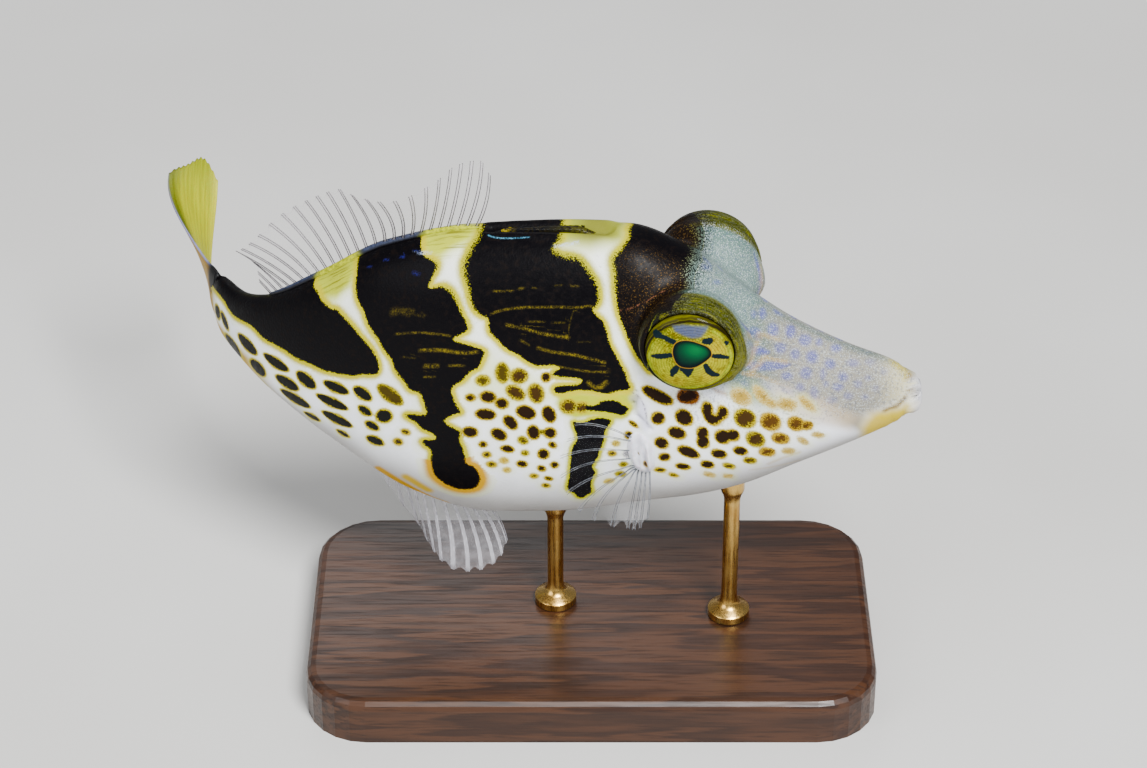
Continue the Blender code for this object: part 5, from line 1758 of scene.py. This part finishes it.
def iris_colours(disc, pupil, edge, sky_reflection):
    """The iris, out to the dark gap round it, darker at its top with painted shade of the lid, and a painted
    reflection of the sky over it.
    """
    forward, up = disc.T / EYE_RADIUS
    return tinted(
        all_over(IRIS_YELLOW, len(disc)),
        ((1 - eased(pupil, 0.15, 0.9)) * bump(forward, -0.5, 0.3) * 0.7, IRIS_OLIVE),
        (bump(forward, 0.62, 0.24) * bump(up, 0.25, 0.35) * 0.8, IRIS_ORANGE),
        (bump(forward, 0.45, 0.25) * bump(up, -0.5, 0.3) * 0.6, IRIS_ORANGE),
        (bump(forward, -0.35, 0.3) * eased(-up, 0.35, 0.7) * 0.6, IRIS_ORANGE),
        (bump(forward, 0.05, 0.4) * eased(-up, 0.5, 0.85) * 0.5, IRIS_OLIVE),
        (bump(edge, -0.16, 0.12) * 0.75, IRIS_EDGE),
        # painted shade of the lid: the iris darker toward its top
        (eased(up, 0.12, 0.5) * (1 - 0.6 * bump(forward, 0.6, 0.3)) * 0.75, IRIS_OLIVE),
        (eased(edge, -0.02, 0.12), LID_OVER),
        # painted shade of the lid: a dark band just above the iris's top edge
        (bump(edge, 0.12, 0.1) * (up > 0), LID_PIT),
        (bump(edge, 0.5, 0.16) * (up > 0.3) * 0.5, LID_EDGE),
        # a painted reflection of the sky on the top of the iris
        (sky_reflection * 0.85, IRIS_PAINTED_REFLECTION),
    )


def pupil_colours(disc, pupil):
    forward, up = disc.T / EYE_RADIUS
    # a painted glow of green light in the pupil, brightest above its middle
    glow = bump(np.hypot(forward - 0.18, (up - 0.24) * 1.3), 0.0, 0.28)
    return tinted(all_over(PUPIL_DARK, len(disc)), (eased(-pupil, 0.05, 0.6), PUPIL_TEAL),
                  (glow * eased(-pupil, 0, 0.4), PUPIL_PAINTED_GLOW))


def distance_to_bars(disc):
    """How far outside the dark bars of the iris places are."""
    nearest = np.full(len(disc), FAR)
    for bar in IRIS_BARS:
        corners = on_iris([point for point, half in bar])
        for i in range(len(bar) - 1):
            share, off_x, off_y = beside_run(*disc.T, corners[i], corners[i + 1])
            half = (bar[i][1] + (bar[i + 1][1] - bar[i][1]) * share) / PIXELS_A_MM
            nearest = np.minimum(nearest, np.hypot(off_x, off_y) - half)
    return nearest


def make_eye(node_name, hand, material):
    eye = new_ball(node_name + "_ball", 120, 84)
    ball = read_points(eye)
    ahead, outward = -EYE_REARWARD, EYE_OUTWARD[hand]
    depth = np.where(ball[:, 2] > 0, ball[:, 2] * EYE_BULGE, ball[:, 2] * EYE_BACK)
    disc = ball[:, :2] * EYE_RADIUS
    write_points(eye, EYE_CENTRES[hand] + outward * CUP_LEVEL + depth[:, None] * outward
                 + disc[:, :1] * ahead + disc[:, 1:] * UP)
    turned_outward(eye)
    bpy.ops.object.shade_smooth()

    turn = np.linspace(0, 2 * math.pi, 40, endpoint=False)
    oval = on_iris(np.array(IRIS_MIDDLE) + np.stack((np.cos(turn), np.sin(turn)), 1) * IRIS_HALF)
    behind = ball[:, 2] <= 0
    edge = np.where(behind, 1.0, distance_to_shape(disc, oval, FAR))
    pupil = np.where(behind, FAR, distance_to_shape(disc, rounded_off(on_iris(PUPIL), True), FAR))
    bars = np.where(behind, FAR, distance_to_bars(disc))
    # where the painted reflection of the sky lies on the iris
    sky_reflection = 1 - eased(distance_to_shape(disc, on_iris(SKY_REFLECTION_PATCH), FAR), -0.12, 0.16)
    write_colour(eye, "iris", iris_colours(disc, pupil, edge, sky_reflection))
    write_colour(eye, "deep", pupil_colours(disc, pupil))
    write_vector(eye, "eye_marks", pupil, bars, edge)
    write_vector(eye, "eye_sky_reflection", sky_reflection, sky_reflection, sky_reflection)
    wear(eye, material)
    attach(eye, "root")
    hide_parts(node_name)


def eye_material():
    material, tree, shader = new_material("glossy_eye", 0.5, Specular_IOR_Level=0.03, Coat_Weight=0.12,
                                          Coat_Roughness=0.04, Coat_IOR=1.35)
    pupil, bars, edge = parted(tree, attribute(tree, "eye_marks"))
    fine, mid, dots = noise(tree, 0.14), noise(tree, 0.5, 3), noise(tree, 0.09, 1)
    wobble = times(tree, sums(tree, "SUBTRACT", fine, 0.5), 0.14)
    reflection_share = parted(tree, attribute(tree, "eye_sky_reflection"))[0]
    # the flecks fade under the painted reflection of the sky
    on_eye = times(tree, ramp(tree, edge, -0.04, 0.04, 1, 0), ramp(tree, reflection_share, 0.1, 0.6, 1, 0.1))
    rings = sums(tree, "SINE", sums(tree, "MULTIPLY_ADD", edge, 30.0, times(tree, mid, 6.0)))
    beyond = ramp(tree, edge, -0.04, 0.04, 0, 0.4)
    coloured(tree, shader, coated(
        tree, attribute(tree, "iris", "Color"),
        (times(tree, ramp(tree, fine, 0.48, 0.64, 0, 0.5), on_eye), IRIS_FLECK),
        (times(tree, ramp(tree, mid, 0.5, 0.66, 0, 0.5), on_eye), IRIS_RUST),
        (ramp(tree, rings, 0.2, 1, 0, 0.35), LID_OVER),
        (times(tree, ramp(tree, rings, -0.3, -1), beyond), LID_EDGE),
        (ramp(tree, sums(tree, "ADD", bars, wobble), -0.04, 0.05, 1, 0), IRIS_INK),
        (ramp(tree, pupil, 0.03, 0.1, 0.8, 0), PUPIL_RING),
        (ramp(tree, pupil, -0.02, 0.03, 1, 0), attribute(tree, "deep", "Color")),
    ))
    roughened(tree, shader, ramp(tree, dots, 0.3, 0.7, 0.4, 0.6))
    bumped(tree, shader, fine, 0.02, 0.5)
    return material


def make_dorsal_spine():
    """The first dorsal spine, tapered, folded down in its groove, with a row of fine barbs on each side."""
    length = SPINE_TIP - SPINE_ROOT
    station = np.linspace(SPINE_ROOT, SPINE_TIP, 40)
    share = (station - SPINE_ROOT) / length
    height = section_at(station)[0] - 0.3 - 0.06 * share - 1.0 * (1 - eased(share, -0.02, 0.3))
    lines = [point_at(station, 0.0, height)]
    radii = [SPINE_RADIUS * (1 - 0.5 * share) * (1 - eased(share, 0.96, 1.02) * 0.7)]
    for i in range(BARBS_A_SIDE):
        at = SPINE_ROOT + 1.8 + 0.43 * i
        part = (at - SPINE_ROOT) / length
        side = SPINE_RADIUS * (1 - 0.5 * part)
        level = section_at(np.array(at))[0] - 0.14 - 0.06 * part
        for hand in (1, -1):
            lines.append(point_at(np.array((at - 0.16, at + 0.1)), hand * np.array((side * 0.6, side * 1.1)),
                                  level + np.array((0.0, 0.02))))
            radii.append(np.array((0.09, 0.02)))
    spine = make_rods("dorsal_spine_rod", lines, radii, 4)
    along = fish_place(read_points(spine))[0]
    tip = eased(along, SPINE_TIP - 1.2, SPINE_TIP - 0.3)
    root = 1 - eased(along, SPINE_ROOT + 0.5, SPINE_ROOT + 5)
    tint = tinted(all_over(SPINE_DARK, len(along)), (root, SPINE_OLIVE), (tip, SPINE_GOLD))
    write_colour(spine, "tint", tint)
    material, tree, shader = new_material("spine_bone", 0.5, Specular_IOR_Level=0.06, Coat_Weight=0.04,
                                          Coat_Roughness=0.12)
    tone = ramp(tree, noise(tree, 0.3, 3), 0.45, 0.62)
    coloured(tree, shader, blended(tree, tone, attribute(tree, "tint", "Color"), SPINE_GRAIN))
    bumped(tree, shader, noise(tree, 0.2, 3), 0.03, 0.6)
    wear(spine, material)
    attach(spine, "root")
    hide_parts("dorsal_spine")


def drawn_noise(tree, size, detail, roughness, stretch):
    """Noise drawn out along one direction, as grain and brush strokes are."""
    mapping = node(tree, "ShaderNodeMapping", Vector=node(tree, "ShaderNodeTexCoord").outputs["Object"])
    mapping.inputs["Scale"].default_value = stretch
    return noise(tree, size, detail, roughness, mapping.outputs[0])


def walnut_material():
    material, tree, shader = new_material("walnut_grain", 0.42, Specular_IOR_Level=0.25, Coat_Weight=0.12,
                                          Coat_Roughness=0.3)
    figure = drawn_noise(tree, 3.4, 4, 0.55, (0.09, 1.0, 1.0))
    pores = drawn_noise(tree, 0.22, 3, 0.6, (0.05, 1.0, 1.0))
    rings = sums(tree, "FRACT", times(tree, figure, 7.0))
    growth = times(tree, ramp(tree, rings, 0, 0.75), ramp(tree, rings, 1, 0.8))
    coloured(tree, shader, coated(
        tree, blended(tree, growth, WALNUT_DARK, WALNUT_LIGHT),
        (ramp(tree, pores, 0.52, 0.66, 0, 0.6), WALNUT_PORE),
        (ramp(tree, figure, 0.35, 0.65, 0, 0.35), WALNUT_RED),
    ))
    roughened(tree, shader, ramp(tree, pores, 0.4, 0.7, 0.32, 0.5))
    bumped(tree, shader, pores, 0.03, 0.35)
    return material


ROD_SIDES = 48

# Each ring of a rod: its radius, its height, and True where that is counted from the rod's top
ROD_RINGS = (
    (1.6, -0.29, False), (1.7, -0.18, False), (1.7, 0.38, False), (1.58, 0.52, False), (1.1, 0.72, False),
    (0.86, 0.95, False), (0.72, 1.25, False), (0.66, 1.7, False), (0.65, 2.4, False), (0.65, -1.3, True),
    (0.68, -0.95, True), (0.78, -0.6, True), (0.92, -0.3, True), (0.98, -0.1, True), (0.96, 0, True),
    (0.3, 0, True),
)


def brass_material():
    material, tree, shader = new_material("brushed_brass", 0.26, Metallic=1.0)
    strokes = drawn_noise(tree, 0.12, 3, 0.6, (1.0, 1.0, 0.06))
    coloured(tree, shader, blended(tree, ramp(tree, noise(tree, 1.8, 3), 0.35, 0.7), *BRASS_TONES))
    roughened(tree, shader, ramp(tree, strokes, 0.3, 0.7, 0.2, 0.36))
    bumped(tree, shader, strokes, 0.008, 0.4)
    return material


def make_stand_rod(node_name, material):
    """A turned rod from the base up to the belly, whose saddle follows the skin."""
    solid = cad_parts[node_name]
    corners = np.array([tuple(solid.matrix_world @ Vector(corner)) for corner in solid.bound_box]) / MM
    low, high = corners.min(0), corners.max(0)
    turn = np.linspace(0, 2 * math.pi, ROD_SIDES, endpoint=False)
    rings = []
    for radius, height, from_top in ROD_RINGS:
        level = (high if from_top else low)[2] + height
        rings.append(np.stack((radius * np.cos(turn), radius * np.sin(turn), np.full(ROD_SIDES, level)), 1)
                     + ((low + high) / 2 * (1, 1, 0)))
    for ring in rings[-2:]:
        for _ in range(60):
            ring[:, 2] += np.clip(skin_distance(ring) - 0.01, 0, 0.3) * 0.7
    points = np.concatenate(rings)
    faces = [tuple(range(ROD_SIDES))[::-1]]
    for i in range(len(rings) - 1):
        for j in range(ROD_SIDES):
            after = (j + 1) % ROD_SIDES
            faces.append((i * ROD_SIDES + j, i * ROD_SIDES + after, (i + 1) * ROD_SIDES + after,
                          (i + 1) * ROD_SIDES + j))
    faces.append(tuple(range((len(rings) - 1) * ROD_SIDES, len(rings) * ROD_SIDES)))
    mesh = bpy.data.meshes.new(node_name + "_turned")
    mesh.from_pydata((points * MM).tolist(), [], faces)
    rod = new_object(node_name + "_turned", mesh)
    picked(rod)
    bpy.ops.object.shade_smooth_by_angle(angle=math.radians(35))
    wear(rod, material)
    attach(rod, "root")
    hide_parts(node_name)


# The studio. Each light has a name, a place in metres, a size, a power and a colour
LIGHTS = (
    ("key", (0.14, -0.3, 0.44), 0.2, 7.3, (0.985, 0.995, 1)),
    ("fill", (-0.32, -0.26, 0.22), 0.3, 1.1, (0.96, 0.98, 1)),
    ("back", (-0.1, 0.36, 0.34), 0.26, 0.6, (1, 1, 1)),
)
LIGHTS_AIM = (-0.003, 0, 0.025)
WORLD_COLOUR = (0.9, 0.93, 1, 1)
WORLD_STRENGTH = 0.28


def make_camera():
    camera = bpy.data.cameras.new("camera")
    camera.lens = CAMERA_LENS
    camera.sensor_width = CAMERA_SENSOR
    camera.sensor_fit = "HORIZONTAL"
    camera.clip_start = 0.01
    camera.clip_end = 20.0
    made = new_object("camera", camera)
    made.location = [part * MM for part in CAMERA_PLACE]
    made.rotation_euler = (math.radians(CAMERA_TILT), 0, 0)
    bpy.context.scene.camera = made


def make_light(name, place, size, power, colour):
    light = bpy.data.lights.new(name, "AREA")
    light.shape = "DISK"
    light.size = size
    light.energy = power
    light.color = colour
    made = new_object(name, light)
    made.location = place
    made.rotation_euler = (Vector(LIGHTS_AIM) - Vector(place)).to_track_quat("-Z", "Y").to_euler()


def make_studio():
    for light in LIGHTS:
        make_light(*light)
    world = bpy.data.worlds.new("studio")
    world.use_nodes = True
    world.node_tree.nodes["Background"].inputs["Color"].default_value = WORLD_COLOUR
    world.node_tree.nodes["Background"].inputs["Strength"].default_value = WORLD_STRENGTH
    bpy.context.scene.world = world
    nothing_selected()
    bpy.ops.mesh.primitive_plane_add(size=6.0, location=(0, 0, 0))
    floor = bpy.context.object
    floor.name = "studio_floor"
    wear(floor, floor_material())


# Assembly

make_camera()
make_studio()

skin = make_skin()
paint_skin(skin)
wear(skin, skin_material())
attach(skin, "root")
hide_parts("head", "torso", "tail")

make_median_fin("dorsal_fin", DORSAL_FIN, DORSAL_RAYS, 1, DORSAL_LOOKS)
make_median_fin("anal_fin", ANAL_FIN, ANAL_RAYS, -1, ANAL_LOOKS)
make_sheath()
make_caudal_fin()
glossy_eye = eye_material()
for side_name, hand in (("left", 1), ("right", -1)):
    make_pectoral_fin("pectoral_fin_" + side_name, hand)
    make_eye("eye_" + side_name, hand, glossy_eye)
make_dorsal_spine()
wear(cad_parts["stand_base"], walnut_material())
brass = brass_material()
for rod_name in ("stand_rod_front", "stand_rod_rear"):
    make_stand_rod(rod_name, brass)
